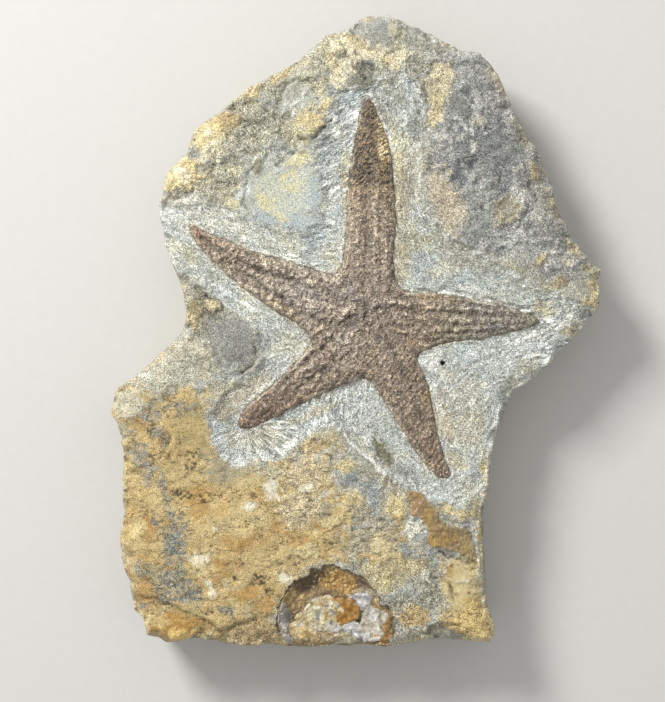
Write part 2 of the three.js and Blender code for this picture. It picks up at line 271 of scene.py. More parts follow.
def closedBody(rings, faceInner, backInner):
    # rings run from the face's rim down to the back's rim; the inner points fill the face and the back
    count = len(rings[0])
    points = np.vstack([*rings, faceInner, backInner])
    faceStart = len(rings) * count
    backStart = faceStart + len(faceInner)
    face = triangulate(rings[0][:, :2], faceInner[:, :2])
    face = np.where(face >= count, face - count + faceStart, face)
    back = triangulate(rings[-1][:, :2], backInner[:, :2])[:, ::-1]
    back = np.where(back >= count, back - count + backStart, back + (len(rings) - 1) * count)
    here = np.arange(count)
    after = (here + 1) % count
    wall = []
    for level in range(len(rings) - 1):
        top, low = level * count, (level + 1) * count
        wall.append(np.column_stack([top + here, low + here, low + after]))
        wall.append(np.column_stack([top + here, low + after, top + after]))
    return points, np.vstack([face, *wall, back])


def addPiece(name, points, triangles, nodes, material, looks):
    mesh = bpy.data.meshes.new(name)
    mesh.from_pydata((points / metre).tolist(), [], triangles.tolist())
    for look, values in looks.items():
        if values.ndim == 2:
            layer = mesh.attributes.new(look, "FLOAT_COLOR", "POINT")
            layer.data.foreach_set("color", np.column_stack([values, np.ones(len(values))]).ravel())
        else:
            layer = mesh.attributes.new(look, "FLOAT", "POINT")
            layer.data.foreach_set("value", values)
    mesh.shade_smooth()
    piece = bpy.data.objects.new(name, mesh)
    bpy.context.scene.collection.objects.link(piece)
    mesh.materials.append(material)
    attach(piece, "root")
    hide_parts(*nodes)
    print(f"{name}: {len(points)} points, {len(triangles)} triangles")
    return piece


slab = {
    "outline": [
        (8.5, 92.5), (2.5, 91.5), (-2.5, 88), (-8.5, 86), (-18.5, 77.5), (-23, 75), (-31.5, 70.5), (-38, 65),
        (-47.5, 59), (-49, 52.5), (-55, 46.5), (-57.5, 36), (-56, 26), (-50.5, 11.5), (-49.5, 5.5),
        (-51.5, -1.5), (-58, -7.5), (-66, -14.5), (-70, -17.5), (-71.5, -24), (-68.5, -31), (-68, -44),
        (-68, -54), (-69.5, -62), (-66, -74), (-64.5, -81.5), (-62, -84), (-61, -89), (-55, -91),
        (-46, -89.5), (-38.5, -91.5), (-26, -92), (-13.5, -92.2), (-1.5, -91), (10.5, -92), (21, -90.5),
        (31.5, -90.5), (39, -91), (41, -88.5), (39, -81.5), (38.5, -68), (38, -51.5), (39.5, -38), (43, -25),
        (46, -17.5), (53.5, -13), (60, -5.5), (71, 6), (71.5, 18), (63, 27), (59, 35), (55, 49), (47, 62.5),
        (41.5, 74.5), (36, 81), (30, 82), (22, 86.5), (13.5, 90),
    ],
    "faceLevel": 24.0,
    "highest": 25.38,          # nothing on the face stands above this
    "edgeBand": 7.0,           # how far in from the edge the face starts to fall away
    "edgeDrop": 3.0,
    "bayDepth": 1.5,           # how far the prepared bay round the fossil is sunk
    "pocketDepth": 3.4,        # rock below the fossil's edge
    "wallIn": [(0, 3.0), (5, 1.6), (10, 0.9), (15, 0.4), (19, 0.0), (22, 0.2), (25, 0.7)],   # level, way in
    "wallLevels": 18,
    "stainLevels": 5,          # levels down the wall over which the face's colours end
    "rimStep": 0.65,
    "faceGrain": 0.485,        # spacing of the face's points
    "collar": [0.12, 0.38, 0.68],   # lines of points round the fossil, by their distance from it
    "hiddenGrain": 1.6,        # spacing of the points under the fossil
    "backGrain": 3.2,
}

# swells and hollows of the broken face: x, y, radius, rise
faceSwells = [
    (-38, -58, 34, 1), (12, -70, 16, -0.7), (30, -78, 12, 0.9), (34, 58, 13, 1.2), (22, 66, 7, -1.4),
    (52, 20, 14, 0.9), (-20, 40, 13, -1.5), (-13, 59, 6, 1.4), (3, 76, 5, -2), (8, 86, 7, 1),
    (-46, 4, 9, -2), (-66, -24, 9, 0.8), (-17.5, 67, 6, -0.7), (-35.5, -3, 8, 0.8), (30, 44, 9, -0.9),
    (44, 35.5, 4, -0.5), (-28, 57, 5, -0.6), (25, -72, 8, -1), (-55, -32, 6, 0.8), (-30, -50, 12, 0.5),
    (-5, -45, 8, 0.6), (24, -8, 10, 0.5), (62, 4, 9, 0.7), (36, 73, 6, 0.9), (45, 58, 5, -0.8),
    (50, 44, 4, 0.8), (38, 47, 4, 0.7), (40, 27, 4, -0.6), (57, 30, 4, 0.7), (-51, 47, 4, 1.2),
    (-43, 57, 4, 0.9), (-31, 70, 4, 0.9), (-35.5, 64.5, 2.5, -1), (-28.7, 47.7, 1.8, 0.9),
]

# the air-scribed bay round the fossil
halo = [
    (-5.5, 68), (-1.5, 70.5), (4.5, 71), (6.5, 73.5), (13, 74.5), (17, 72), (18, 67), (19.5, 55), (18.5, 49),
    (19.5, 42), (21.5, 35), (27, 27.5), (35, 23.5), (41.5, 20), (50.5, 14), (59, 9.5), (68, 6), (72, 3.5),
    (64, -3), (57.5, -7.5), (52, -14), (46, -18.5), (43, -26), (40.5, -33), (38.5, -41), (36, -47.5),
    (31, -50), (24.5, -50), (19, -48), (11.5, -44), (8, -41), (4.5, -36), (-3, -30), (-7.5, -27.5),
    (-12, -29), (-16, -32), (-19.5, -36), (-22.5, -38), (-27, -38), (-32, -39), (-36, -39.5), (-39.5, -36.5),
    (-41.5, -32.5), (-42.5, -27), (-42, -22), (-39, -18.5), (-35, -16), (-30, -12), (-27, -8), (-28.5, 0),
    (-32.5, 3.5), (-43, 11), (-54, 20), (-58, 27), (-59, 36), (-55, 37), (-45, 36), (-36, 34.5),
    (-30.5, 31.5), (-23.5, 28.5), (-15.5, 28), (-11, 31), (-9.5, 38), (-11.5, 49), (-10, 57), (-8, 63.5),
]

# where iron has stained the rock ochre
ochreFields = {
    "left": [
        (-71, -16), (-65, -15.5), (-58, -19), (-50, -16), (-44, -18.5), (-43, -29), (-41, -35.5),
        (-37, -39.5), (-30, -41), (-23, -40), (-19, -38), (-15.5, -33), (-11, -30.5), (-7, -30.5), (-5, -35),
        (-6.5, -43), (-1, -49), (4, -56), (12, -58), (16, -64), (14, -70), (4, -68), (-1.5, -65),
        (-8, -66.5), (-15, -69), (-20.5, -73), (-23, -78), (-24, -84), (-19, -94), (-66, -94), (-70, -78),
        (-73, -50), (-74, -25),
    ],
    "corner": [
        (24.5, -66.5), (34.5, -67), (37, -78), (42, -90), (36, -94), (24.5, -86.5), (27.5, -79), (26, -72.5),
    ],
}
darkRock = [
    (21.5, 82), (36, 81.5), (43, 73), (55, 50), (68, 19), (59, 12.5), (47.5, 19.5), (35, 23.5), (27, 27.5),
    (22, 36.5), (20, 49.5), (23.5, 61), (29, 68), (21.5, 75.5),
]

# What stands out on the face: its colour, how strong and how soft-edged it is, how smooth and how coarse
# the break is, how far it stands up, then its ovals: x, y, half-length, half-width, turn in degrees.
features = {
    "greyShoulder": ("#c1bda8", 0.8, 0.3, 0, 0, 0.1, [(-52.5, -11.5, 13, 8.5, 20)]),
    "mottledGrey": ("#8f918c", 0.8, 0.3, 0, 0.3, 0, [
        (-60, -24, 5, 3.6), (-53, -22, 5, 2.4, 30), (-49, -23.5, 4, 2, 30), (-63, -36, 4, 4, 40),
        (-60, -41, 2.6, 4.4), (-56, -44, 2, 3), (-66, -29, 2, 3), (-57, -29, 3, 2)]),
    "greenField": ("#b9a672", 0.85, 0.5, 0.4, 0, 0, [(-47.5, -29.4, 6.8, 7.6)]),
    "greenLight": ("#c8b27e", 0.9, 0.4, 0.4, 0, 0, [(-50, -41, 5, 6)]),
    "greyGreen": ("#a69e84", 0.85, 0.5, 0.4, 0, 0, [(-38.3, -40.8, 7.6, 4.8, -8)]),
    "duneGrey": ("#898b84", 0.95, 0.35, 0, 0.5, -0.2, [
        (-52.5, -61, 4.2, 8, -5), (-54, -74, 6.4, 5, 15), (-49, -76.4, 5, 3.4, -10), (-62, -70, 3, 3.6),
        (-37.4, -81.3, 3.4, 1.7), (-61.5, -80, 2, 1.4), (-54.5, -50, 1.6, 7, 8), (-58, -56, 1.2, 4)]),
    "paleOchre": ("#d6c08a", 0.7, 0.4, 0.35, 0, 0.1, [
        (-36, -52, 9, 5, 10), (-27, -66, 7, 4), (-44, -57, 3, 8), (-58, -50, 5, 5), (-8, -50, 5, 4, 20),
        (-63, -62, 3, 4)]),
    "deepOchre": ("#b78c4a", 0.65, 0.4, 0.35, 0, 0, [
        (-16, -61, 4, 3), (-40, -69, 5, 4, 20), (-33, -60, 6, 3.5, 15), (-45, -50, 4, 5), (-20, -57, 5, 3),
        (-60, -57, 3, 4), (-32, -76, 6, 3, 10), (-61, -75, 3, 5), (-27, -80, 4, 3)]),
    "wrinkledCream": ("#d5c7a3", 0.8, 0.3, 0, 0.5, 0.2, [(-13.3, -40.5, 8.4, 8.8), (-16.2, -52, 8, 6)]),
    "greyVeins": ("#c0c3bc", 0.8, 0.3, 0, 0.2, -0.2, [
        (-5.8, -40.5, 2.2, 9.5, 8), (-2, -33, 3, 2.2, -30), (-10, -35, 3, 0.8, 60), (-9, -48, 4, 0.9, 30),
        (-17, -37, 1, 4)]),
    "middleRock": ("#bbb49c", 0.8, 0.35, 0, 0.3, 0, [
        (4.1, -60.8, 10, 8), (11.3, -50, 5.5, 6), (12, -66, 6, 5)]),
    "middleCream": ("#dccb98", 0.85, 0.25, 0.2, 0, 0.4, [
        (-3.5, -39.1, 2.9, 2.4), (-0.3, -50.8, 3.7, 3.7), (11.1, -52, 2.8, 4), (6.7, -63.3, 3.4, 4),
        (8.7, -71.2, 2, 2), (12.9, -67, 2.4, 3, 20), (-7, -55, 4, 2, 20), (-14, -63, 4, 2.4)]),
    "middleBlue": ("#acb1ad", 0.9, 0.3, 0, 0.3, -0.1, [
        (5, -48.6, 1.8, 6), (1, -57, 4, 0.9, 10), (3.5, -67.5, 1.2, 2.6), (11, -74.5, 2.4, 2),
        (15, -63.5, 3, 1.6, -30), (17, -76, 2, 3)]),
    "lowerRock": ("#c2b489", 0.8, 0.35, 0, 0.3, 0, [(7, -71.5, 9, 5, -10), (17, -68, 6, 4)]),
    "greyRock": ("#aaa592", 0.8, 0.3, 0, 0.7, -0.2, [
        (14.2, -81, 5.2, 7.5), (21.4, -75.5, 5.8, 7.4), (1, -53, 3, 3), (17.5, -88, 5, 2.4)]),
    "lowBrown": ("#b09a72", 0.9, 0.25, 0, 0.5, -0.5, [(-29.3, -87.6, 9.4, 3.8)]),
    "orangeFlake": ("#ba9048", 0.95, 0.17, 0.3, 0, 0.5, [(-53.3, -86.6, 8.6, 4.6)]),
    "palePlate": ("#ecc878", 0.95, 0.15, 0.6, 0, 0.4, [(-51.6, -88, 3.8, 2.4)]),
    "orange": ("#c6ad78", 0.85, 0.25, 0, 0, 0.2, [
        (-49.6, -17.9, 3.6, 2.5, 15), (-54.2, -23.4, 3, 1.8), (-57.4, -35.2, 2.8, 3.6),
        (-38.3, 61.6, 5.6, 1.7, 8), (12.5, -54.5, 2.2, 2), (16.5, -82.8, 4.9, 3.4), (38.3, -43.4, 1.7, 9.5),
        (37.5, -58, 1.4, 5), (-3, -66.7, 1.4, 0.9), (4, -66, 3, 1.6)]),
    "creamLobe": ("#d3cdb4", 0.9, 0.25, 0.2, 0, 0.3, [(-66.1, -21.3, 5.2, 4.7), (-44.3, -5.4, 2.8, 2.1)]),
    "chips": ("#cfcec2", 0.85, 0.25, 0, 0.5, 0.2, [
        (-60.9, -12.9, 2.1, 2.8), (-64.5, -15.5, 1.2, 1), (-57, -10, 1, 0.8)]),
    "wedge": ("#8b846c", 0.8, 0.25, 0, 0.3, -0.6, [(-55.1, -32.9, 1.3, 3.4, -15), (-59, -30, 1, 2.5, 20)]),
    "softWhite": ("#ece6cc", 0.9, 0.35, 0.3, 0, 0.1, [
        (-24.3, -45.4, 2.4, 4.4), (-30.4, -51.2, 2.2, 1.6), (-45.5, -67.6, 3.4, 3.2, -30),
        (-42.6, -74.2, 1.2, 4, 15), (-40.8, -57.5, 1.4, 0.8), (-21.2, -71.2, 2.5, 1.9),
        (32.2, -70.3, 1.5, 2), (-14.5, -46, 2, 1.2, 30)]),
    "whiteLump": ("#e4e1cf", 0.9, 0.2, 0, 0.5, 0.5, [
        (16.5, -57.6, 3.3, 3.2), (6.5, -40, 1.2, 5, 35), (20, -71.5, 1.3, 1.8)]),
    "blueSpot": ("#99a09d", 0.85, 0.3, 0.2, 0, -0.2, [(-0.6, -42.8, 1.9, 2.2), (2.4, -45, 1.4, 1)]),
    "lens": ("#96947f", 0.9, 0.2, 0.6, 0, -0.3, [(8.6, -35.4, 2, 6, 28)]),
    "brownSpot": ("#7d7058", 0.8, 0.3, 0, 0.4, -0.3, [(11, -43.9, 1.9, 1.3), (8.4, -54.7, 1, 1)]),
    "creamFacet": ("#cbba8c", 0.95, 0.12, 0.7, 0, 0.4, [(30.3, -74.5, 5.2, 8.4)]),
    "facetSpots": ("#b9995e", 0.7, 0.3, 0, 0, 0, [(27, -69.5, 1.6, 1.8), (33, -79, 2, 1.4)]),
    "seamCream": ("#cfbd8c", 0.85, 0.3, 0.1, 0, 0.1, [
        (31.8, -53.2, 4.6, 2.4, -10), (27, -51.4, 3, 1.8, -30), (36, -57, 1.2, 6)]),
    "corner": ("#e6c986", 0.9, 0.25, 0, 0.3, 0.3, [(33.9, -84.5, 7.2, 5.4)]),
    "greyFacet": ("#a09e90", 0.95, 0.12, 0.7, 0, -1.2, [(24.3, -88, 7, 2.4)]),
    "strip": ("#96918a", 0.9, 0.25, 0.6, 0, -0.3, [(25.8, -64.2, 4.2, 1.4, -8)]),
    "notchGrey": ("#918b79", 0.85, 0.25, 0, 0.8, -0.5, [(-43.8, 3.6, 5, 7.4), (-43, 12, 4, 2.6)]),
    "notchOchre": ("#b8a882", 0.85, 0.2, 0, 0.4, 0.3, [(-47.4, 4.2, 2.4, 4.4)]),
    "notchBlock": ("#d8c8a0", 0.95, 0.15, 0.3, 0, 0.6, [(-41.4, 7.1, 1.9, 1.7)]),
    "leftLobe": ("#95958d", 0.9, 0.12, 0.4, 0, 0.3, [(-35.9, -3.4, 7.2, 7.5)]),
    "yellowSpots": ("#c9b98a", 0.8, 0.3, 0, 0, 0, [(-29.9, -10.9, 1.3, 1.3), (-42.6, -16.7, 1.1, 2.5)]),
    "bowl": ("#c3c7bc", 0.95, 0.12, 1, 0, 0, [(-20.5, 40, 13.8, 12.4)]),
    "bowlBlue": ("#b0babb", 0.85, 0.56, 0.4, 0, 0, [
        (-11.4, 37.8, 4.4, 9.4), (-26, 32, 5, 3.6), (-17, 31, 5, 3)]),
    "bowlYellow": ("#dcdcc0", 0.6, 0.72, 0.4, 0, 0, [
        (-20.4, 42.6, 8.4, 6.6, -10), (-24, 38, 6, 4), (-16.2, 50, 4, 2)]),
    "bowlTan": ("#dcd2a8", 0.85, 0.6, 0.4, 0, 0.1, [
        (-16.8, 49.6, 4.6, 3, 10), (-19.6, 45.2, 3.6, 1.8, 10), (-18.6, 41.4, 3.2, 1.9, 10),
        (-35.4, 41.6, 1.8, 1.7), (-35.4, 36.3, 1.7, 1.8), (-26.6, 37.4, 3.8, 2.8, -35),
        (-22, 33.4, 4, 1.4, -20)]),
    "bowlWhite": ("#e0e3df", 0.8, 0.35, 0.4, 0, 0, [
        (-32.5, 40.4, 1.6, 2.4, -40), (-21.2, 51.7, 1, 1), (-22, 47, 2, 0.9, 30)]),
    "upperGrit": ("#b3af99", 0.8, 0.25, 0, 1, -0.1, [
        (-27.2, 58.1, 10, 7, 10), (-38.8, 45.9, 5.4, 7.4), (-33, 64, 5, 3.6, 20)]),
    "edgeGrit": ("#b6b099", 0.8, 0.25, 0, 0.9, 0, [
        (-51.6, 39.6, 6.8, 2.6), (-46, 41, 5, 3), (-24, 70, 4, 4)]),
    "edgeLumps": ("#bfa97a", 0.8, 0.3, 0, 0.5, 0.6, [
        (-30.7, 70.3, 5.4, 3.2, 35), (-22, 73.5, 4, 2, 30), (-36, 60, 4, 2, 30)]),
    "creamBlocks": ("#e4d09a", 0.9, 0.23, 0.4, 0, 0.8, [
        (-49.9, 45.3, 5.2, 5.4), (-42.6, 56.9, 4.8, 5), (-55, 43, 2.5, 3)]),
    "brightBlock": ("#ede3c3", 0.8, 0.3, 0.4, 0, 0.3, [
        (-43.5, 50.5, 2.6, 1.8, 30), (-50.5, 45.6, 2.4, 1.8, 20), (-43.5, 57.5, 2.4, 2),
        (-33, 70, 1.6, 1, 30)]),
    "darkPits": ("#857e6a", 0.5, 0.3, 0, 0.2, -0.25, [
        (-35.7, 64.8, 1.8, 1.4), (-20, 62, 2, 1.2, 40), (-31, 52, 1.4, 1.2), (-35.5, 50, 1.2, 1.6),
        (-41, 50.5, 1, 1), (-24, 62.5, 1.6, 1), (-29, 62.5, 1.2, 0.9)]),
    "pebbleRing": ("#d3d3c6", 0.8, 0.2, 0, 0, 0.2, [(-28.7, 47.7, 2, 2.7)]),
    "pebble": ("#99957c", 0.9, 0.15, 0.5, 0, 0.4, [(-28.7, 47.7, 1.2, 1.8)]),
    "ovalFacet": ("#b7b8aa", 0.9, 0.12, 0.8, 0, 0, [(-17.1, 68.2, 6.2, 5.8, 15)]),
    "facetWhite": ("#d4d8d2", 0.8, 0.35, 0, 0, 0, [
        (-20.6, 64.6, 0.9, 2.4, -20), (-17.7, 62.6, 0.8, 2.6, -10), (-14.8, 65.4, 0.7, 2, -15)]),
    "nodule": ("#d3c394", 0.9, 0.2, 0.3, 0.2, 0.7, [(-13.6, 60.1, 5.4, 4.2, 10), (-8, 64, 3, 3.4)]),
    "crownYellow": ("#f3e8c6", 0.85, 0.3, 0.2, 0.2, 0.2, [
        (4.8, 81.8, 9.6, 5), (-3.2, 82.7, 4.4, 3.4), (-1.2, 77.8, 5, 4), (11, 78.2, 6, 3.4, 10),
        (-5.2, 74.9, 2.8, 5.4)]),
    "crownGrey": ("#b7b39c", 0.8, 0.3, 0, 0.6, 0, [
        (-9, 79, 5.4, 4.8, 30), (-14, 73, 4, 2.6, 30), (7, 76.5, 3, 2), (-10, 72, 2.5, 3.5)]),
    "topFacet": ("#9c9e96", 0.9, 0.12, 0.8, 0, 0.2, [(6.4, 86.8, 6, 5.2)]),
    "topCream": ("#d4cdb3", 0.85, 0.3, 0.5, 0, 0, [(10.7, 87.9, 1.5, 3.4)]),
    "topGrey": ("#a6a69b", 0.9, 0.12, 0.9, 0, 0, [(16.2, 85.9, 3.5, 2.8)]),
    "rimGrey": ("#a9a79a", 0.8, 0.25, 0.3, 0.3, 0, [(21, 84, 5, 2.4, -25)]),
    # the hollow's darker colour is painted shade
    "hollow": ("#7c7c72", 0.8, 0.3, 0, 0.3, -0.2, [
        (2.9, 75.5, 3.4, 2.7), (-1, 68.5, 5, 1.1, 5), (-4, 80, 1.2, 1.2)]),
    "innerGrit": ("#a9a99d", 0.8, 0.3, 0, 0.8, 0.2, [
        (12.2, 66.8, 6.8, 7.8), (15.7, 60.4, 4, 7), (17, 77, 4, 3)]),
    "darkNorth": ("#a6a6a1", 0.6, 0.35, 0.2, 0.2, 0.1, [(33, 69.7, 8, 10.4)]),
    "darkMiddle": ("#858784", 0.9, 0.4, 0.2, 0.25, 0, [
        (33, 50, 3, 4), (41.7, 52.3, 9.6, 11, 15), (36, 61, 5, 4)]),
    "darkEast": ("#9b998f", 0.7, 0.35, 0.1, 0.3, 0, [(53.3, 37.8, 5.4, 12, 10)]),
    "darkSouth": ("#a0a19a", 0.85, 0.35, 0.2, 0.2, 0.1, [(35.9, 32, 9, 6.4)]),
    "paleSouth": ("#aeafa8", 0.85, 0.35, 0.2, 0.2, 0.1, [(50.4, 23.3, 8, 4.4, -20)]),
    "pinkish": ("#c8bba2", 0.9, 0.3, 0.3, 0.2, 0.2, [(26.6, 37.6, 5, 11.6, 16)]),
    "bluePatch": ("#80858a", 0.8, 0.5, 0, 0.4, -0.5, [
        (29.6, 43.3, 3.6, 2.6, -20), (33, 48.6, 2.6, 0.9, 25)]),
    "ochreRing": ("#b4a988", 0.8, 0.3, 0, 0.2, 0.3, [(44.1, 34.6, 4.2, 5.2)]),
    "ringMiddle": ("#99968a", 0.8, 0.3, 0, 0.2, -0.3, [(44.3, 34.6, 2.2, 2.8)]),
    "triangle": ("#7f807b", 0.9, 0.12, 0.9, 0, 0.1, [(29.4, 63.6, 3.4, 4.2)]),
    "pinkCream": ("#cbbf9d", 0.85, 0.3, 0, 0.2, 0.3, [(24.3, 72.4, 4.4, 6)]),
    "pinkTail": ("#c3b692", 0.85, 0.3, 0, 0.2, 0.2, [(23.6, 64.6, 2.4, 4.4)]),
    "purpleSpots": ("#7a716b", 0.5, 0.3, 0, 0.2, -0.2, [(42.3, 64.8, 2, 1.3), (38, 67, 1.2, 0.8)]),
    "darkSpots": ("#6b6c6b", 0.6, 0.7, 0, 0.2, -0.4, [
        (31, 69, 2, 2.6), (43, 60.5, 2, 1.4, 30), (48, 55, 1.4, 2), (40, 42, 2.4, 1.2, 30),
        (37.5, 56, 1.6, 1.2), (50, 30, 2, 1, -30), (61.5, 26, 2, 2.4), (56, 27.5, 2.6, 1.8, -30),
        (33, 37, 1.4, 1), (55.5, 42, 1, 2), (35.5, 75, 1.4, 1.6)]),
    "paleSpots": ("#d2d0c2", 0.85, 0.35, 0, 0.2, 0.3, [
        (36, 64.5, 1.6, 1, 30), (47, 47, 1.6, 1.2), (52, 33, 1.4, 1.8), (40, 73.5, 1.6, 1.4),
        (45, 41, 1.4, 1), (30, 56, 2, 1, 50), (58, 22, 2.4, 1, -30), (38, 37, 2, 0.9, 20),
        (33.5, 53, 1, 1.6), (24, 55, 1, 3)]),
    "ochreSpots": ("#b5a67f", 0.8, 0.3, 0, 0.2, 0.2, [
        (51.9, 46.2, 1.6, 2.8), (53.3, 19.8, 1.7, 1.8), (59.1, 13.7, 1.6, 2.5), (63, 24, 3.6, 1.1, -52),
        (66.5, 18.5, 2, 1.3, -50), (57.5, 38, 1, 2.4, 10)]),
    "rightLobe": ("#decea0", 0.95, 0.25, 0, 0.3, 0.2, [
        (67.4, 6.6, 3, 2.4), (61.2, -1, 2.8, 2.6), (69.5, 13, 1.6, 3.4)]),
}
speckled = {"mottledGrey", "duneGrey", "greyVeins", "paleSpots", "darkSpots", "purpleSpots"}   # in specks
# where the bay's colour changes: colour, strength, then its ovals
bayTones = [
    ("#dddccb", 0.75, [(-39.4, 32, 10, 4.6, -20), (-50, 31, 5, 3, -20)]),
    ("#b8bdb9", 0.7, [(-6.6, 55.2, 3.4, 12, 4), (-24, 3, 6, 3, -30)]),
    ("#adb4b4", 0.7, [(-11, 27.7, 6, 4.5), (-5, -22, 4, 3), (66, 4, 4, 2)]),
    ("#b4b3a8", 0.7, [(-40.9, 17.5, 7.5, 5, -25), (30, 21, 10, 3, -15), (47, 14, 8, 2.6, -20)]),
    ("#abaa9a", 0.7, [(-38, -20.6, 4.6, 6, 30), (-36, -31, 3, 6)]),
    ("#d6dad6", 0.75, [
        (50.4, -4.4, 10, 3.6, 20), (33, -7, 6, 2.5), (-10.4, -23.1, 7, 4, 20), (28, -16, 6, 4)]),
    ("#d0c8b2", 0.8, [(24.3, -26, 3.6, 10, 25), (33, -30, 4, 5)]),
    ("#aca794", 0.9, [(14.2, 40, 3.8, 22), (15, 26, 4, 7), (55, 7, 7, 4, -20), (57, 14, 6, 3, -20)]),
    ("#91907b", 1, [(8.6, -35.4, 2.4, 7, 28)]),
    ("#e6dcb0", 0.9, [(11.2, 51, 1.5, 10, 6)]),
    ("#a3a192", 0.8, [
        (28, 26, 13, 5.5, -35), (36, 19.5, 11, 4.5, -15), (21, 35, 3, 7, 10), (30, 33, 6, 4, -40)]),
    ("#bfb394", 0.5, [(13.8, 20, 3.2, 8)]),
    ("#d6caa2", 0.6, [(-3.4, 44, 1.5, 17, 4), (12, 38, 1.4, 14)]),
    ("#d3c08a", 0.85, [(37.2, -41, 2.2, 6)]),
    ("#cdbb92", 0.6, [(25.8, -24, 1.6, 12, 12)]),
    ("#a8adae", 0.7, [(-8, -30.5, 5, 2.4, -20), (4, -38, 5, 2.2, -45)]),
    ("#ada88c", 0.7, [(20, 26, 5, 3, -30), (45, 21, 8, 2.4, -25)]),
    ("#c6ba94", 0.6, [(28.5, -37.5, 5, 3, -30), (-12, -24, 13, 1.6, 22)]),
    ("#94938a", 0.95, [(13, -40, 2.8, 6, 28)]),
    ("#8f8b7b", 0.9, [(-38, -24.5, 2.6, 5, 20)]),
    # painted shade in the hollow below the crown
    ("#7b7a6d", 0.9, [(1.2, 71.2, 3.8, 2.6)]),
    ("#eceadf", 0.9, [(-48, 35, 7, 2.4, -5)]),
    ("#c8bc98", 0.6, [(12.6, 17.5, 1.6, 6)]),
    ("#e8e8de", 0.85, [
        (22.6, -9.5, 3.4, 5, 20), (23.8, -21, 1.4, 7, 14), (52, -1.4, 7, 1.8, 15),
        (-48, 35.6, 5.4, 1.6, -5)]),
    ("#86826a", 0.95, [(9, -37, 2.2, 7.5, 28)]),
    ("#c0b59a", 0.7, [(-31, -17, 11, 4, 42), (-27, -31, 10, 4, 10)]),
    ("#c9c2ab", 0.5, [(31, -22, 8, 13)]),
    ("#cdbf98", 0.75, [(62, 0, 4, 4)]),
    ("#d8dcd8", 0.8, [(52, -6, 8, 3, 20)]),
    ("#a0a297", 0.7, [(10, 67, 6, 8)]),
    ("#e6e6dc", 0.85, [
        (36, 10.8, 9, 1.6, -15), (-7.8, 59, 3, 5), (-6.4, 41, 1.6, 6), (21.5, -29, 2, 4),
        (58, 1.5, 9, 2, 20)]),
    ("#8f9188", 0.9, [(17.4, 61, 3.6, 9)]),
    ("#cfc8a6", 0.6, [
        (54.8, 5.9, 4, 3), (13.5, 52, 1.6, 9), (-2, 20, 2, 4), (-49, 22, 2, 5, 30), (16.5, 30, 2, 4),
        (-42, -37, 4, 1.6)]),
    ("#c2c3b6", 0.6, [(-24, -34, 8, 4), (40, 8, 8, 3)]),
]

# tones of the open rock: colour, strength, ovals
rockTones = [
    ("#f3e9c8", 0.95, [(-40.9, 52.3, 4.6, 3.2, 30), (-49.6, 44.5, 2.6, 3.4, 60), (-6, 81, 2.4, 2.6)]),
    ("#f0efe2", 0.95, [(-48, 36, 8, 2.6, -5)]),
    # painted highlight on the lit facet at the lower right corner
    ("#f0d290", 0.95, [(38, -85.6, 5, 3.6)]),
    ("#e3cd9c", 0.45, [(0, 83.5, 4.4, 2.4, -30), (8, 78.5, 5, 2.2, -25), (-7, 77.5, 1.8, 4, 20)]),
    ("#dad2b0", 0.85, [
        (-35.5, 46.5, 3, 1.6, -20), (-10.5, 69.7, 2.4, 4), (-16.2, 56.6, 4.4, 2.8), (-24.9, -41, 5, 2.6)]),
    ("#cfcab2", 0.8, [(-10.4, -30.3, 3.4, 2.6), (62, 19.8, 3.4, 2.6), (35, 61, 3, 2.4)]),
    ("#80817b", 0.85, [(35.9, 45, 3, 3), (49.4, 43, 1.4, 4, 10), (54.8, 24.8, 3.4, 2)]),
    # painted shade in the hollow below the crown
    ("#79786a", 0.9, [(1.4, 71.4, 4.6, 3, -10)]),
    ("#e2cd95", 0.8, [
        (-62.6, -57, 2.6, 5), (-43.8, -69.4, 5.4, 2.4, -10), (-33.6, -57.9, 5, 3), (-60, -84, 6, 3)]),
    ("#c8a562", 0.6, [(-28, -37, 9, 2, -5), (-39, -52, 4, 3)]),
    ("#969177", 0.7, [
        (-44, -36, 3, 3), (-51, -71, 2.6, 2.6), (-58, -70, 3, 4), (12.7, -71, 3.5, 3), (-9, -52, 3.4, 3)]),
]
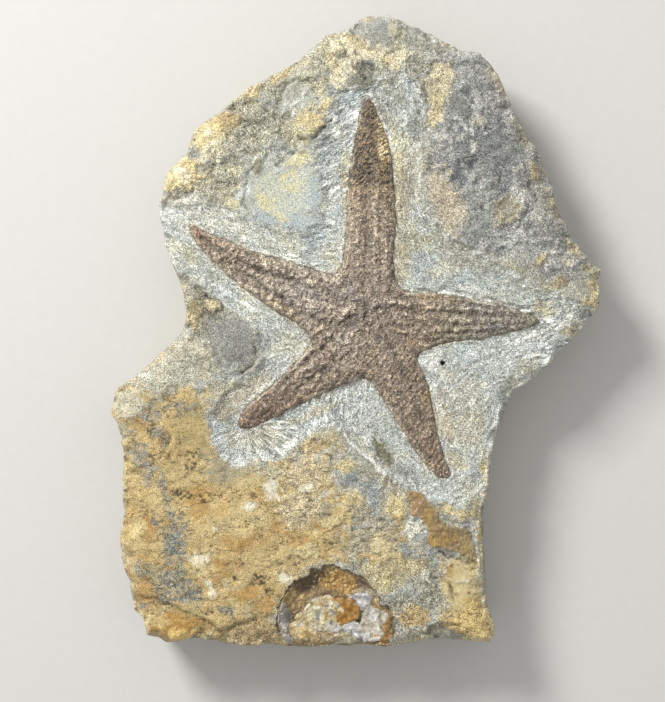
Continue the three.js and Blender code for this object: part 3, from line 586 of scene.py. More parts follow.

# cracks: depth, half-width, darkness of the painted shade in them, points
cracks = [
    (0.8, 0.35, 0.7, [(-5, 85.5), (-3.5, 81.5), (-1.5, 78.5), (0, 75.5), (2.5, 73), (5, 71.5)]),
    (0.7, 0.35, 0.6, [(-1.5, 87.5), (0, 85), (1.5, 83.5)]),
    (0.7, 0.35, 0.6, [(-0.5, 80.5), (2, 78.5), (4, 76.5), (6.5, 75), (10, 75)]),
    (0.8, 0.35, 0.8, [
        (-45.5, -9.5), (-42.5, -12.5), (-38, -14), (-33.5, -13), (-30.5, -10), (-29, -6.5), (-29.5, -4)]),
    (1, 0.4, 0.9, [(-16.5, 55), (-12.5, 56), (-9.5, 58), (-7.5, 60.5)]),
    (0.8, 0.35, 0.7, [(-59, -39.5), (-56.5, -36.5), (-54.5, -34.5), (-53.5, -31)]),
    (0.4, 1.1, 0.4, [
        (-65.5, -76), (-57.5, -78), (-48, -82), (-44, -85), (-41, -87), (-37.5, -87), (-33.5, -85),
        (-29.5, -83.5), (-23.5, -83)]),
    (0.4, 0.3, 0.35, [(8.5, -43.5), (7.9, -46), (8.4, -49), (7, -53), (6.5, -57)]),
    (0.3, 0.3, 0.3, [(5, -58.6), (1, -57.6), (-3, -58.2), (-6.5, -57.7)]),
    (0.3, 0.3, 0.3, [(-4, -58.5), (-4.6, -61), (-4, -63), (-6, -65.5)]),
    (0.3, 0.3, 0.35, [(-16, -52.5), (-17, -56), (-16.5, -59), (-15.5, -61.5)]),
    (1, 0.4, 0.9, [(24.5, -64.5), (28.5, -66), (35, -67.5)]),
    (0.7, 0.4, 0.7, [(19, -72.5), (21, -72), (24.5, -71), (25.5, -72), (28, -75), (28.5, -78)]),
    (0.4, 0.3, 0.4, [(-24, -40), (-21, -45), (-18, -52)]),
    (0.5, 0.3, 0.5, [(18.5, 57), (22.5, 61.5), (29.5, 68.5)]),
    (0.6, 0.35, 0.7, [(-43, 9.5), (-39.5, 8.5), (-39, 5.5), (-42, 4.5), (-43.5, 7)]),
    (0.4, 0.3, 0.4, [(-63, -68), (-58, -70), (-52, -69), (-47, -72)]),
    (0.4, 0.3, 0.4, [(-60, -52), (-55, -55), (-50, -54)]),
    (0.4, 0.3, 0.5, [(-20, -87), (-30, -89)]),
    (0.6, 0.35, 0.6, [(16.5, 75.5), (19.5, 71), (20, 66)]),
    (0.5, 0.3, 0.4, [(7.5, -31), (7, -36), (8, -40)]),
    (0.5, 0.3, 0.5, [(31.5, 50), (34, 51), (35.5, 50)]),
    (0.5, 0.35, 0.5, [(14, -82), (16, -83.4), (19, -83.2), (22, -82)]),
    (0.4, 0.3, 0.4, [(27, -68.5), (27.5, -71), (26.8, -73)]),
    (0.5, 0.4, 0.5, [(21.3, -47.6), (24.1, -51.3), (26, -54.7), (29.4, -55.6), (33.4, -56.4)]),
    (0.8, 0.5, 0.9, [(29.2, -76.5), (29.5, -76.8)]),
    (0.8, 0.5, 0.9, [(33.4, -76.2), (33.7, -76.4)]),
    (0.7, 0.4, 0.8, [(27.7, -67.5), (27.9, -67.8)]),
]

# broken steps in the bedding: height, reach of the fall behind it, points with the high side on the left
ledges = [
    (0.9, 3, [(17, 13), (25, 12.3), (34, 10.8), (43, 8.2), (48.5, 6.4), (54, 4)]),
    (0.9, 3, [(8.5, -42), (4.5, -38), (1, -34.5), (-3, -30.5)]),
    (0.8, 4, [(37, 58), (35, 62), (33, 66), (32, 70)]),
    (0.9, 4, [(22.5, 34), (26, 29.5), (31, 26.5), (38, 24.5), (44, 25)]),
    (0.8, 4, [(50.5, 28), (47.5, 23.5), (41.5, 20), (36, 23)]),
    (0.7, 5, [(-23.5, 28), (-33, 36), (-32, 46), (-24, 53), (-12, 51)]),
    (0.9, 3, [(-28, -6), (-30, -11), (-34, -13.5), (-39, -13.5), (-43, -11.5)]),
    (0.9, 4, [(-24, 63), (-20, 72), (-12, 73), (-8, 67)]),
    (0.9, 3, [(12, 91), (13, 84.5), (20, 82)]),
    (0.9, 3, [(-1, 88), (2, 82), (9, 81), (13, 84)]),
    (1.2, 5, [(28.5, -78), (25.5, -71.5), (20, -72)]),
    (0.9, 4, [(37, -67.5), (30, -66.5), (24.5, -64.5)]),
    (0.7, 4, [(-67, -76), (-57, -77.5), (-48, -81.5), (-40, -87), (-30, -83.5), (-23, -83)]),
    (0.8, 4, [(-43, -16), (-47, -15), (-52, -17.5), (-60, -16.5)]),
    (0.8, 4, [(-62, -28), (-57, -27), (-53, -30), (-52, -36), (-56, -41)]),
    (1.1, 4, [(19, -87.5), (24, -84.5), (31, -84.5), (32, -88)]),
    (0.7, 3, [(-39, 61), (-33, 64), (-30, 67)]),
    (0.7, 3, [(40, 73), (42, 66), (47, 60)]),
    (0.6, 3, [(20, 58), (21, 66), (19, 74), (24, 79)]),
    (0.6, 3, [(55, 12), (60, 9), (66, 8)]),
]
# thin raised lines that the light catches, with a painted highlight along them: rise, half-width, paleness of
# the painted highlight, points
ridges = [
    (0.7, 0.5, 0.6, [(31.6, 66.8), (33.4, 64.2), (35.4, 61.4), (37.4, 57)]),
    (0.4, 0.4, 0.45, [
        (38.6, -40.6), (37.2, -47.2), (36.1, -52.9), (35.3, -61.3), (35.8, -70), (36.1, -77.4),
        (37.6, -84)]),
    (0.4, 0.5, 0.5, [(20, 75.5), (18.6, 71.5), (18.3, 67.5), (20, 62.4), (22.4, 57)]),
    (0.5, 0.5, 0.5, [(20, 33.4), (25.8, 28.8), (31, 26.2), (38, 23.9), (44.6, 26.2)]),
    (0.7, 0.6, 0.8, [(-3.5, -30.3), (-0.6, -33), (2.6, -36.1), (5.6, -39), (8.4, -41.9)]),
    (0.4, 0.6, 0.7, [(-49, 19.1), (-43, 15), (-38.5, 11.8), (-31, 6.4), (-26, 2.4), (-20.9, -0.8)]),
    (0.3, 0.5, 0.5, [(-46, 31.5), (-38, 28.4), (-30, 25.4), (-22, 23), (-14, 20)]),
    (0.4, 0.5, 0.6, [(-20, 68), (-18, 64), (-15.5, 66.5), (-14, 70)]),
    (0.4, 0.5, 0.5, [(14, 91), (16.5, 86), (20, 84), (25, 85)]),
    (0.4, 0.5, 0.5, [(26, 63), (30, 60.5), (33, 57)]),
    (0.4, 0.5, 0.5, [(45, 45), (48, 41), (48.5, 35), (46, 30)]),
    (0.3, 0.6, 0.3, [(5, -56), (6.5, -61), (6, -66), (7, -70)]),
    (0.4, 0.5, 0.5, [(29, -73), (31, -71.5), (33.5, -72.5)]),
    (0.3, 0.5, 0.5, [(20, -24), (26, -24), (33, -22), (38, -26)]),
]
# fine black branching stains of manganese: x, y, half-length, half-width, turn
dendrites = [
    (-47.1, -37.6, 5.2, 1.2, 60), (-48.6, -47.7, 4.4, 1.3, -5), (-43.3, -49.6, 1.4, 0.9),
    (-28, -72, 2.6, 2, 20), (-34.5, -71.5, 0.9, 0.8), (-44.5, -81.5, 0.9, 0.9), (-42.5, -82, 0.9, 0.8),
    (-26, -75, 1, 1),
]

# one way of brushing for each stretch of the bay: x, y, reach, direction in degrees
brushings = [
    (-5, 56, 11, 32), (-7, 44, 9, 26), (-12, 31, 9, 12), (-22, 29, 8, -12), (-34, 32, 9, -20),
    (-50, 33, 9, -15), (-48, 18, 9, -32), (-36, 8, 9, -34), (-24, 0, 8, -40), (-20, -7, 8, 40),
    (-30, -15, 8, 38), (-14, -31, 7, 75), (-22, -34, 7, 70), (-3, -24, 8, 85), (5, -31, 8, -60),
    (14, -42, 8, -55), (28, -48, 9, 20), (33, -34, 9, 80), (30, -20, 9, 60), (30, -8, 9, 8), (46, -8, 9, 12),
    (60, 2, 9, 20), (40, 14, 9, -14), (24, 17, 9, -18), (17, 28, 8, -70), (14, 45, 9, 78), (15, 62, 9, 100),
    (5, 71, 7, 10), (20, 22, 6, -40), (-17, 22, 5, -14),
]
strokes = {
    "patch": 5.5,             # size of each patch brushed one way
    "stretch": 0.22,          # a stroke's width over its length
    "spacing": 1.0,
    "fanMiddle": (-32, -27),  # strokes spread out from the end of the lower left arm
    "fanReach": 16,
    "fanTurn": 9.0,           # radius at which the fan's strokes have the usual spacing
    "deep": [(-6, 57, 10), (-6, 40, 8), (-22, -33, 9), (-8, -24, 8), (58, 1, 10)],   # where it bit deeper
}

pinHole = (25.2, -9.5)

vug = {
    "rim": [
        (-19, -94), (-22.5, -88), (-23.2, -83), (-21.8, -78), (-18.5, -73.5), (-14, -70), (-8.5, -67.8),
        (-4.5, -68.8), (0, -71), (4, -73), (6.2, -75.5), (7.5, -79), (9.6, -80.5), (11.4, -84), (11, -88),
        (10, -94),
    ],
    "depth": 7.0,
    "lip": 2.0,       # how far in from the rim the floor is reached
}

# where the lime round the fossil is painted brighter and wider, a painted highlight along these rims: x, y,
# half-length, half-width, turn
rimHighlights = [
    (-24, -13.5, 15, 4, 41), (33, 10.5, 15, 3, -8), (0, 58, 3, 11, 5), (10.5, 53, 2.6, 9, 6),
    (22, -12, 3, 9, 15), (-24, 23, 12, 2.4, -20),
]
fossil = {
    "outline": [
        (3.5, 68), (1.2, 63.5), (-0.1, 55), (-1.7, 47.5), (-2.5, 40), (-2.7, 30.5), (-3.5, 23.5),
        (-5.2, 16.8), (-11.5, 17.5), (-20.5, 20.5), (-28.5, 22.5), (-36, 25.5), (-43.5, 28.5), (-48.5, 31),
        (-46.5, 25.5), (-42.5, 21), (-36, 15), (-28.5, 9), (-22.5, 5), (-17, 1.5), (-13.2, -2.3),
        (-15.6, -7.1), (-20.4, -12.4), (-26.5, -17.8), (-29.7, -20.2), (-32.1, -22.6), (-33.8, -25.3),
        (-34, -27), (-33.3, -28.6), (-28.5, -27.5), (-20.5, -23.5), (-13, -20), (-5.5, -16.5), (2, -14),
        (5, -16), (9.5, -23), (13.5, -29), (18, -36), (22.5, -41.5), (25.5, -43), (27.6, -41.6), (25.3, -36),
        (23.6, -29.5), (22.2, -22), (20.5, -14), (18, -7.5), (24.5, -4), (36, -2.5), (44, -0.5), (50.5, 1),
        (53, 3.4), (47.5, 5.6), (40, 7.8), (32.5, 9.3), (24.5, 10.6), (13.5, 11.8), (11, 19.5), (11.5, 27),
        (11.5, 34.5), (11, 42), (10.3, 50.5), (8.5, 57.5), (5.3, 65),
    ],
    "grain": 0.25,            # spacing of the fossil's points
    "crown": 1.9,             # rise of an arm's back above the bay
    "shoulder": 4.4,          # distance from the edge at which the arm is full height
    "lip": 0.5,               # height of the steep edge
    "plate": 0.78,            # size of the little plates of the skin
    "plateRise": 0.22,
    "knob": 1.9,              # spacing of the big plates that stand in rows
    "knobRise": 0.65,
    "row": 2.5,               # spacing of the rows
    "ridge": 1.7,             # spacing of the cross ridges
    "bead": 1.8,              # spacing of the knobs along a pale row
    "bottom": 19.6,
    "middleTone": "#9a8c7a",  # the tone that the patches of other colour are mixed from
    # the next three are painted light and shade: highlight on high tops, shade in low places, shade in
    # furrows and holes
    "worn": "#d3c9b4",
    "dirt": "#56462f",
    "gap": "#2b1f12",
    "dust": "#d0cdbd",        # rock dust left along the edge
    "under": "#6a5946",
    "highest": 25.3,
}
# the middle line of each arm from the mouth to its tip, its colours on the way, and how strongly its
# knobs and cross ridges show
arms = {
    "top": {
        "line": [(3, 7), (3.6, 30), (4.2, 50), (3.6, 67)],
        "tones": [(0, "#8b8074"), (0.45, "#948672"), (0.58, "#8c7a5e"), (0.66, "#796648"), (1, "#786542")],
        "knobs": 0.7, "rows": 0.3, "ridges": 0.3, "lean": 0.5,
    },
    "upperLeft": {
        "line": [(3, 7), (-12, 11), (-29, 16.5), (-47.5, 30)],
        "tones": [(0, "#8b8074"), (0.45, "#968d81"), (0.75, "#998b78"), (1, "#a48f7a")],
        "knobs": 1.0, "rows": 1.0, "ridges": 0.2, "lean": 0.3,
    },
    "lowerLeft": {
        "line": [(3, 7), (-8, -4.5), (-21, -16.5), (-33.5, -28)],
        "tones": [(0, "#8b8074"), (0.5, "#918471"), (0.8, "#8a755f"), (1, "#866d58")],
        "knobs": 0.8, "rows": 1.0, "ridges": 0.3, "lean": -0.3,
    },
    "lowerRight": {
        "line": [(3, 7), (9.5, -8.5), (17, -25), (26, -42)],
        "tones": [(0, "#8b8074"), (0.4, "#8b7c69"), (0.8, "#92826d"), (1, "#92806a")],
        "knobs": 0.6, "rows": 0.2, "ridges": 1.0, "lean": 0.6,
    },
    "right": {
        "line": [(3, 7), (18, 3.6), (36, 3.4), (52.5, 3.5)],
        "tones": [
            (0, "#8b8074"), (0.35, "#8d7e69"), (0.52, "#8a826c"), (0.68, "#827f75"), (0.9, "#878479"),
            (1, "#908d74")],
        "knobs": 0.7, "rows": 1.0, "ridges": 0.2, "lean": 0.2,
    },
}
# soft grooves along the arms: depth, half-width, darkness of the painted shade in them, points
furrows = [
    (0.8, 0.8, 0.85, [
        (3.1, 4.5), (-1, 2), (-5.2, -1.2), (-12.5, -7.2), (-18.8, -13.2), (-25, -20.2), (-30, -25)]),
    (0.5, 0.6, 0.6, [(-1, -6), (-4.2, -8.4), (-11.5, -12.8), (-19.8, -18.8), (-27.1, -24.8)]),
    (0.8, 0.8, 0.85, [(-44.8, 27), (-38, 22.6), (-32.3, 19.2), (-27.1, 16.9), (-21.9, 15.5), (-16, 14.6)]),
    (0.7, 0.7, 0.75, [
        (-38, 20.6), (-32.3, 16.4), (-25, 11.3), (-18.8, 7.6), (-12.5, 3.6), (-8.4, 2), (-4.2, 2),
        (0.6, 4.5)]),
    (0.5, 0.7, 0.6, [(-14, 12.6), (-8, 10.4), (-3, 8.8), (1, 8)]),
    (0.4, 0.5, 0.5, [(2.6, 13), (2.9, 22), (3.1, 32), (3, 39)]),
    (0.2, 0.4, 0.25, [(7.2, 14), (7.2, 26), (7, 32)]),
    (0.4, 0.4, 0.5, [(10.4, 10.4), (10.5, 18), (10.6, 27)]),
    (0.5, 0.6, 0.65, [(6, 6.6), (11.4, 6.4), (21.8, 5.4), (30.1, 4.9), (40, 4.2), (48, 3.6)]),
    (0.4, 0.5, 0.5, [(9, 1.2), (18, 1.3), (30, 1.4), (40, 1.6)]),
    (0.35, 0.4, 0.45, [(12, 9.6), (22, 8.9), (32, 7.9), (42, 6)]),
    (0.35, 0.4, 0.45, [(12, -1.4), (24, -1.2), (36, -0.4)]),
    (0.5, 0.6, 0.55, [(7.5, 1), (11, -6), (15.5, -15), (19.5, -27)]),
    (0.4, 0.6, 0.5, [(12, -22), (17, -31), (22, -38)]),
]
# raised pale rows of knobs: rise, half-width, points
crests = [
    (0.5, 0.7, [
        (7.2, 5.6), (3, 3), (-1.1, -1), (-9.4, -7.6), (-16.7, -13.2), (-22.9, -18.2), (-28, -23.4)]),
    (0.4, 0.6, [(1.5, 3), (-4, -0.6), (-10, -4.4), (-17, -9.6)]),
    (0.45, 0.7, [(-36, 23.4), (-31.3, 20.6), (-25, 18.6), (-19.8, 17.3), (-14.6, 16.5), (-6.4, 13.2)]),
    (0.4, 0.8, [(-38, 21.6), (-30.2, 16.6), (-19.8, 11.6), (-9.4, 6.4), (-3, 5.4)]),
    (0.3, 0.5, [(-33, 13.6), (-25, 9), (-17.5, 4)]),
    (0.4, 0.6, [(4.5, 3.5), (3.5, 0), (3, -3)]),
    (0.4, 0.6, [(5.2, 13), (5.4, 24), (5.5, 34), (5.2, 42)]),
    (0.2, 0.5, [(0, 22), (0.4, 30), (0.6, 38)]),
    (0.2, 0.5, [(8.8, 16), (8.9, 26), (8.8, 34)]),
    (0.35, 0.6, [(10, 8.2), (21.8, 7.2), (30.1, 6.5), (40, 5.3)]),
    (0.35, 0.6, [(10, 3.9), (20, 3.4), (30.1, 3), (42, 2.8)]),
    (0.3, 0.5, [(12, -0.2), (26, 0), (38, 0.6)]),
    (0.3, 0.6, [(4.6, -3), (9, -12), (13, -21)]),
]
# holes between the plates, sunk and given painted shade: x, y, half-length, half-width, turn
holes = [
    (9.4, 48.2, 2.2, 0.6), (9.7, 45.3, 1.6, 0.7), (9, 42.7, 1.8, 0.6, 5), (5.2, 42.7, 2.2, 0.6),
    (-0.6, 44.7, 1.4, 0.8, 20), (2, 45.3, 1, 0.6), (9.2, 51, 1.6, 0.5, 8), (3, 7, 1.5, 1.7, 20),
    (5.4, 5.4, 2.4, 0.7, 30), (-1.5, 44.6, 0.8, 0.6), (6.4, 35, 1.4, 0.7), (1.7, 38.5, 1, 0.5, 60),
    (-2, 4, 2, 0.8, 20), (-12, -2, 1.6, 1, 50), (-9, -11.4, 2, 0.9, 45), (7, -2, 1.4, 0.9, -40),
    (15, 4, 1.6, 0.6), (13, -12, 1.4, 0.8, -60), (-22, 9.6, 1.6, 0.7, -20),
]
# patches of other colour on the fossil: colour, strength, then ovals
skinTones = [
    ("#d2c0a8", 0.9, [(-1.7, 5.3, 3.4, 3), (-11.9, 1.6, 3.4, 2.8)]),
    ("#b39c72", 0.7, [(-23.5, 8, 6, 1.8, -36), (-18, 4.6, 4, 1.6, -40)]),
    ("#cbbd9c", 0.6, [(-18.5, 19.4, 3.6, 1.5, -10), (-25, 19.6, 3, 1.2, -18), (-13, 14.5, 2, 1.6)]),
    ("#97908e", 0.5, [(-14, 11, 5, 2.4, -20), (-3, 12, 3, 2.4), (-4, -2, 3, 2, 40)]),
    ("#a39c5e", 0.5, [(-3.6, 12.2, 1.2, 1.2)]),
    ("#efdcae", 1, [(9, 55, 2.4, 8.5)]),
    ("#b8945c", 0.5, [(20.5, -19.5, 1.6, 2.6, -15), (15.5, -3.4, 2.4, 1.4, -20), (22, 9.8, 5, 0.9)]),
    ("#8d6f5d", 0.5, [
        (-45, 28, 4, 1.8, -35), (-29, -25, 5, 2, 40), (22, -34, 3, 5, 30), (-8, -7, 3, 1.6, 45)]),
    ("#b0a18c", 0.5, [
        (-0.5, 36, 2, 7), (5, 36, 1, 4), (5.5, 26, 1.2, 5), (2.5, 0, 1.4, 3, -10), (0, -8, 3, 2, 30)]),
    ("#7d8086", 0.5, [(6.8, 34.6, 1.4, 1.2), (34, 7, 4, 1.2, -5), (40, 1, 4, 1)]),
]
# near the top arm's tip the sunk gaps get painted shade in this near-black colour
darkTip = {"from": 0.575, "gaps": "#191209", "tan": "#e6d5aa"}   # from this share of the top arm outward


# where each point is along and across the strokes, in which patch, and how clear they are
def brushLines(x, y, flat):
    size = strokes["patch"]
    warpX, warpY = x + 1.3 * roughNoise(flat, 4, 2, 61), y + 1.3 * roughNoise(flat, 4, 2, 62)
    nearest, second = np.full(x.shape, 1e9), np.full(x.shape, 1e9)
    midX, midY, token = (np.zeros(x.shape) for i in range(3))
    for cellX, cellY, cell in nearCells(warpX / size, warpY / size, (0, 0)):
        cellX, cellY = (cellX + cell[:, 0]) * size, (cellY + cell[:, 1]) * size
        away = np.hypot(warpX - cellX, warpY - cellY)
        closer = away < nearest
        second = np.where(closer, nearest, np.minimum(second, away))
        nearest, token = np.where(closer, away, nearest), np.where(closer, cell[:, 2], token)
        midX, midY = np.where(closer, cellX, midX), np.where(closer, cellY, midY)
    # directions are averaged as doubled angles, so that a line and its reverse agree
    c, s = 0.02 * np.cos(6 * token), 0.02 * np.sin(6 * token)
    for brushX, brushY, reach, turn in brushings:
        weight = hump(midX, midY, brushX, brushY, reach)
        c += weight * math.cos(math.radians(2 * turn))
        s += weight * math.sin(math.radians(2 * turn))
    angle = np.arctan2(s, c) / 2 + 0.5 * (token - 0.5)
    along = x * np.cos(angle) + y * np.sin(angle)
    across = y * np.cos(angle) - x * np.sin(angle)
    fanX, fanY = x - strokes["fanMiddle"][0], y - strokes["fanMiddle"][1]
    fanRadius = np.hypot(fanX, fanY)
    fanDepth = np.minimum(strokes["fanReach"] - fanRadius, np.minimum(0.6 * fanX + 3 - fanY, 2 - fanY))
    inFan = fanDepth > 0
    along = np.where(inFan, fanRadius, along)
    across = np.where(inFan, np.arctan2(fanY, fanX) * strokes["fanTurn"], across)
    token = np.where(inFan, 0.5, token)
    # strokes die out where two patches meet
    clear = ramp(0.1, 0.9, np.where(inFan, 9, second - nearest))
    clear = clear * ramp(0.05, 0.5, np.abs(fanDepth))
    bite = np.max([hump(x, y, *place) for place in strokes["deep"]], axis=0)
    return np.column_stack([along * strokes["stretch"], across, token * 50]), clear * (0.8 + 0.9 * bite)


def edgeShake(flat):   # how ragged the fossil's edge is
    return np.column_stack([0.24 * roughNoise(flat, 2.6, 3, 54), 0.24 * roughNoise(flat, 2.6, 3, 55)])


def fossilDepth(x, y):   # distance in from the fossil's edge
    shake = edgeShake(flatPlaces(x, y))
    return insideDistance(x + shake[:, 0], y + shake[:, 1], smoothLoop(fossil["outline"], 1.6))


def fossilRim(step):
    loop = smoothLoop(fossil["outline"], step)
    return loop - edgeShake(flatPlaces(*loop.T))


def survey(x, y):   # everything that the marks above say about these places on the slab
    land = SimpleNamespace(x=x, y=y, flat=flatPlaces(x, y))
    noise = partial(roughNoise, land.flat)
    warpX = x + 0.8 * noise(7, 2, 1) + 0.5 * noise(2.2, 3, 2)
    warpY = y + 0.8 * noise(7, 2, 3) + 0.5 * noise(2.2, 3, 4)
    ragged = 0.22 * noise(1.6, 3, 44) + 0.2 * noise(5, 3, 45)
    # how the rock broke: flat-sided lumps and chips, whose edges the patches of colour follow, each face with
    # a random value that is also painted on as its shade
    land.blocks, land.blockTone = crystals(warpX, warpY * 1.3, 5.5, 5, 0.24, 0.12)
    land.chips, land.chipTone = crystals(x + 0.3 * ragged, y * 1.2, 2.2, 6, 0.45, 0.2)
    land.blocks -= 1.6
    land.chips -= 0.75
    ragged += 0.3 * (land.blockTone - 0.5) + 0.35 * (land.chipTone - 0.5)
    specks = 0.45 + 0.55 * ramp(-0.2, 0.1, noise(1.3, 3, 57))
    land.cover = {}
    land.smooth, land.coarse, land.rise = (np.zeros(len(x)) for i in range(3))
    for name, (colour, strength, soft, smooth, coarse, rise, marks) in features.items():
        cover = ramp(-0.05, soft, ovalCover(warpX, warpY, marks) + ragged)
        if name in speckled:
            cover = cover * specks
        land.cover[name] = cover
        land.smooth = np.maximum(land.smooth * (1 - cover * (coarse > 0)), smooth * cover)
        land.coarse = np.maximum(land.coarse * (1 - cover * (smooth > 0.5)), coarse * cover)
        land.rise += rise * cover
    land.bayTones, land.rockTones = (
        [(colour, strength * ramp(-0.1, 0.7, ovalCover(warpX, warpY, marks) + ragged))
         for colour, strength, marks in tones] for tones in (bayTones, rockTones))
    land.dendrite = ovalCover(warpX, warpY, dendrites)
    land.edge = insideDistance(x, y, slab["outline"]) - 0.8
    land.fossil = fossilDepth(x, y)
    land.brush, land.combed = brushLines(x, y, land.flat)
    land.strokes = roughNoise(land.brush, strokes["spacing"], 2, 5) * land.combed
    land.halo = insideDistance(x, y, halo) + 0.9 * roughNoise(land.brush, 1.8, 2, 6) + 0.5 * noise(2.4, 2, 7)
    land.ochre = np.max([insideDistance(warpX, warpY, field) for field in ochreFields.values()], axis=0)
    land.darkRock = insideDistance(warpX, warpY, darkRock)
    land.vug = insideDistance(x + 0.8 * noise(2.6, 4, 6), y + 0.8 * noise(2.6, 4, 7), vug["rim"])
    broken = np.clip(0.85 + 0.6 * noise(2.6, 2, 46), 0.2, 1.1)
    lit = np.clip(broken * 1.3, 0.4, 1.2)
    land.crackDepth, land.crackShade, land.ridgeRise, land.ridgePale = (np.zeros(len(x)) for i in range(4))
    for depth, halfWidth, darkness, line in cracks:
        away = lineDistance(warpX, warpY, line)[0] / halfWidth
        land.crackDepth = np.maximum(land.crackDepth, depth * broken * np.clip(1 - away / 1.3, 0, 1))
        shade = 0.75 * darkness * broken * np.clip(1.15 - away / 1.2, 0, 1)
        land.crackShade = np.maximum(land.crackShade, shade)
    for rise, halfWidth, paleness, line in ridges:
        crest = lit * np.exp(-(lineDistance(warpX, warpY, line)[0] / halfWidth) ** 2)
        land.ridgeRise = np.maximum(land.ridgeRise, rise * crest)
        land.ridgePale = np.maximum(land.ridgePale, paleness * crest)
    land.step = np.zeros(len(x))
    for height, reach, line in ledges:
        away, along, side = lineDistance(warpX, warpY, line)
        ends = ramp(-0.5, 3, along) * ramp(-0.5, 3, lineLength(line) - along)
        land.step += height * ends * side * np.exp(-away / reach) * ramp(0, 0.5, away + 0.2) / 2
    # thin beds of the ochre rock that flaked off one above the other, rising a little to the right
    bedding = np.column_stack([warpX * 0.35, warpY - 0.14 * warpX, np.zeros(len(x))])
    bed = roughNoise(bedding, 2.6, 3, 47) * 2.5
    land.bed = np.floor(bed)
    land.bedEdge = bed - land.bed
    land.crevice = crackNoise(land.flat, 1.7, 2, 11) - 0.6
    land.lumps = noise(2.8, 3, 10)
    land.grit = noise(0.95, 2, 12)
    return land


relief = {
    "waves": 0.3,            # the long low waves of the face
    "beds": 0.36,            # steps where the rock parted along its bedding
    "lumps": (0.14, 0.12),   # each pair: everywhere, and how much more where the break is coarse
    "crevices": (0.14, 0.2),
    "grit": (0.05, 0.2),
    "blocks": (0.55, 0.3),
    "chips": (0.3, 0.3),
    "hard": 0.35,            # how much sharper the dark rock broke
    "stroke": 0.26,
    "collar": 0.3,           # the lip of rock left along the fossil
    "pinHole": 2.5,          # the hole of a fine bit
}


def faceHeight(land):
    x, y, noise = land.x, land.y, partial(roughNoise, land.flat)
    inBay = ramp(-1.0, 2.6, land.halo)
    ochre = ramp(0, 4, land.ochre) * (1 - inBay)
    dark = ramp(-1, 4, land.darkRock) * (1 - inBay)
    smooth = np.clip(land.smooth, 0, 1)
    coarse = np.clip(np.maximum(land.coarse, 0.15 * dark), 0, 1)
    broken = (1 - 0.85 * smooth) * (1 - 0.5 * inBay) * (1 - 0.5 * ochre)
    hard = relief["hard"] * ramp(-2, 3, land.darkRock)
    lumps, crevices, grit, blocks, chips = (
        relief[name][0] + relief[name][1] * coarse * share for name, share in (
            ("lumps", 1), ("crevices", 1), ("grit", broken), ("blocks", 1), ("chips", 1)))
    z = np.full(len(x), slab["faceLevel"])
    for swellX, swellY, radius, rise in faceSwells:
        z += rise * hump(x, y, swellX, swellY, radius / math.sqrt(1.6))
    z += relief["waves"] * noise(24, 3, 8)
    layers = noise(9, 4, 9) * 2.2
    parting = np.floor(layers) + ramp(0.35, 0.65, layers - np.floor(layers)) - layers * 0.4
    z += broken * relief["beds"] * parting
    z += broken * (lumps * land.lumps + crevices * land.crevice) + grit * land.grit
    z += broken * (1 - inBay) * ((blocks + hard) * land.blocks + (chips + hard) * land.chips)
    z += 0.3 * dark * broken * (crackNoise(land.flat * (1, 0.6, 1), 5, 2, 13) - 0.7)
    z += land.rise * (0.8 + 0.3 * noise(2, 2, 20))
    z += land.step - land.crackDepth + land.ridgeRise
    flakes = 0.1 * (land.bed + ramp(0.0, 0.3, land.bedEdge))
    z += ochre * (flakes + 0.22 * (crackNoise(land.flat, 4.5, 3, 14) - 0.7))
    z -= slab["bayDepth"] * inBay * 0.9
    z += relief["stroke"] * land.strokes * (0.1 + 0.9 * inBay) * (1 - 0.8 * smooth)
    lip = np.clip(0.5 + 0.9 * noise(2.2, 2, 15), 0, 1.3) * np.exp(-((land.fossil + 0.5) / 0.5) ** 2)
    z += relief["collar"] * lip
    z -= slab["pocketDepth"] * ramp(0.1, 1.3, land.fossil)
    # the edge falls away in chips
    chip = np.clip(1 - (land.edge + 1.4 * noise(7, 3, 16)) / slab["edgeBand"], 0, 1.4)
    z -= slab["edgeDrop"] * chip ** 2.6 * (0.75 + 0.6 * noise(5, 3, 18))
    z -= relief["pinHole"] * ramp(0.75, 0.45, np.hypot(x - pinHole[0], y - pinHole[1]))
    sunk = ramp(0.0, vug["lip"], land.vug)
    z = z * (1 - sunk) + (slab["faceLevel"] - vug["depth"] + 0.5 * noise(4, 2, 19)) * sunk
    return softCeiling(z, slab["highest"], 5)


rockColours = {
    "fresh": "#b0ae9f", "blue": "#a9aeac", "darkRock": "#a3a39f", "ochre": "#c8ae75", "bay": "#c5c9c2",
    "wall": "#a29e8c", "rind": "#c9b78c", "vugRim": "#80705a", "fossilStain": "#9c8b72",
}
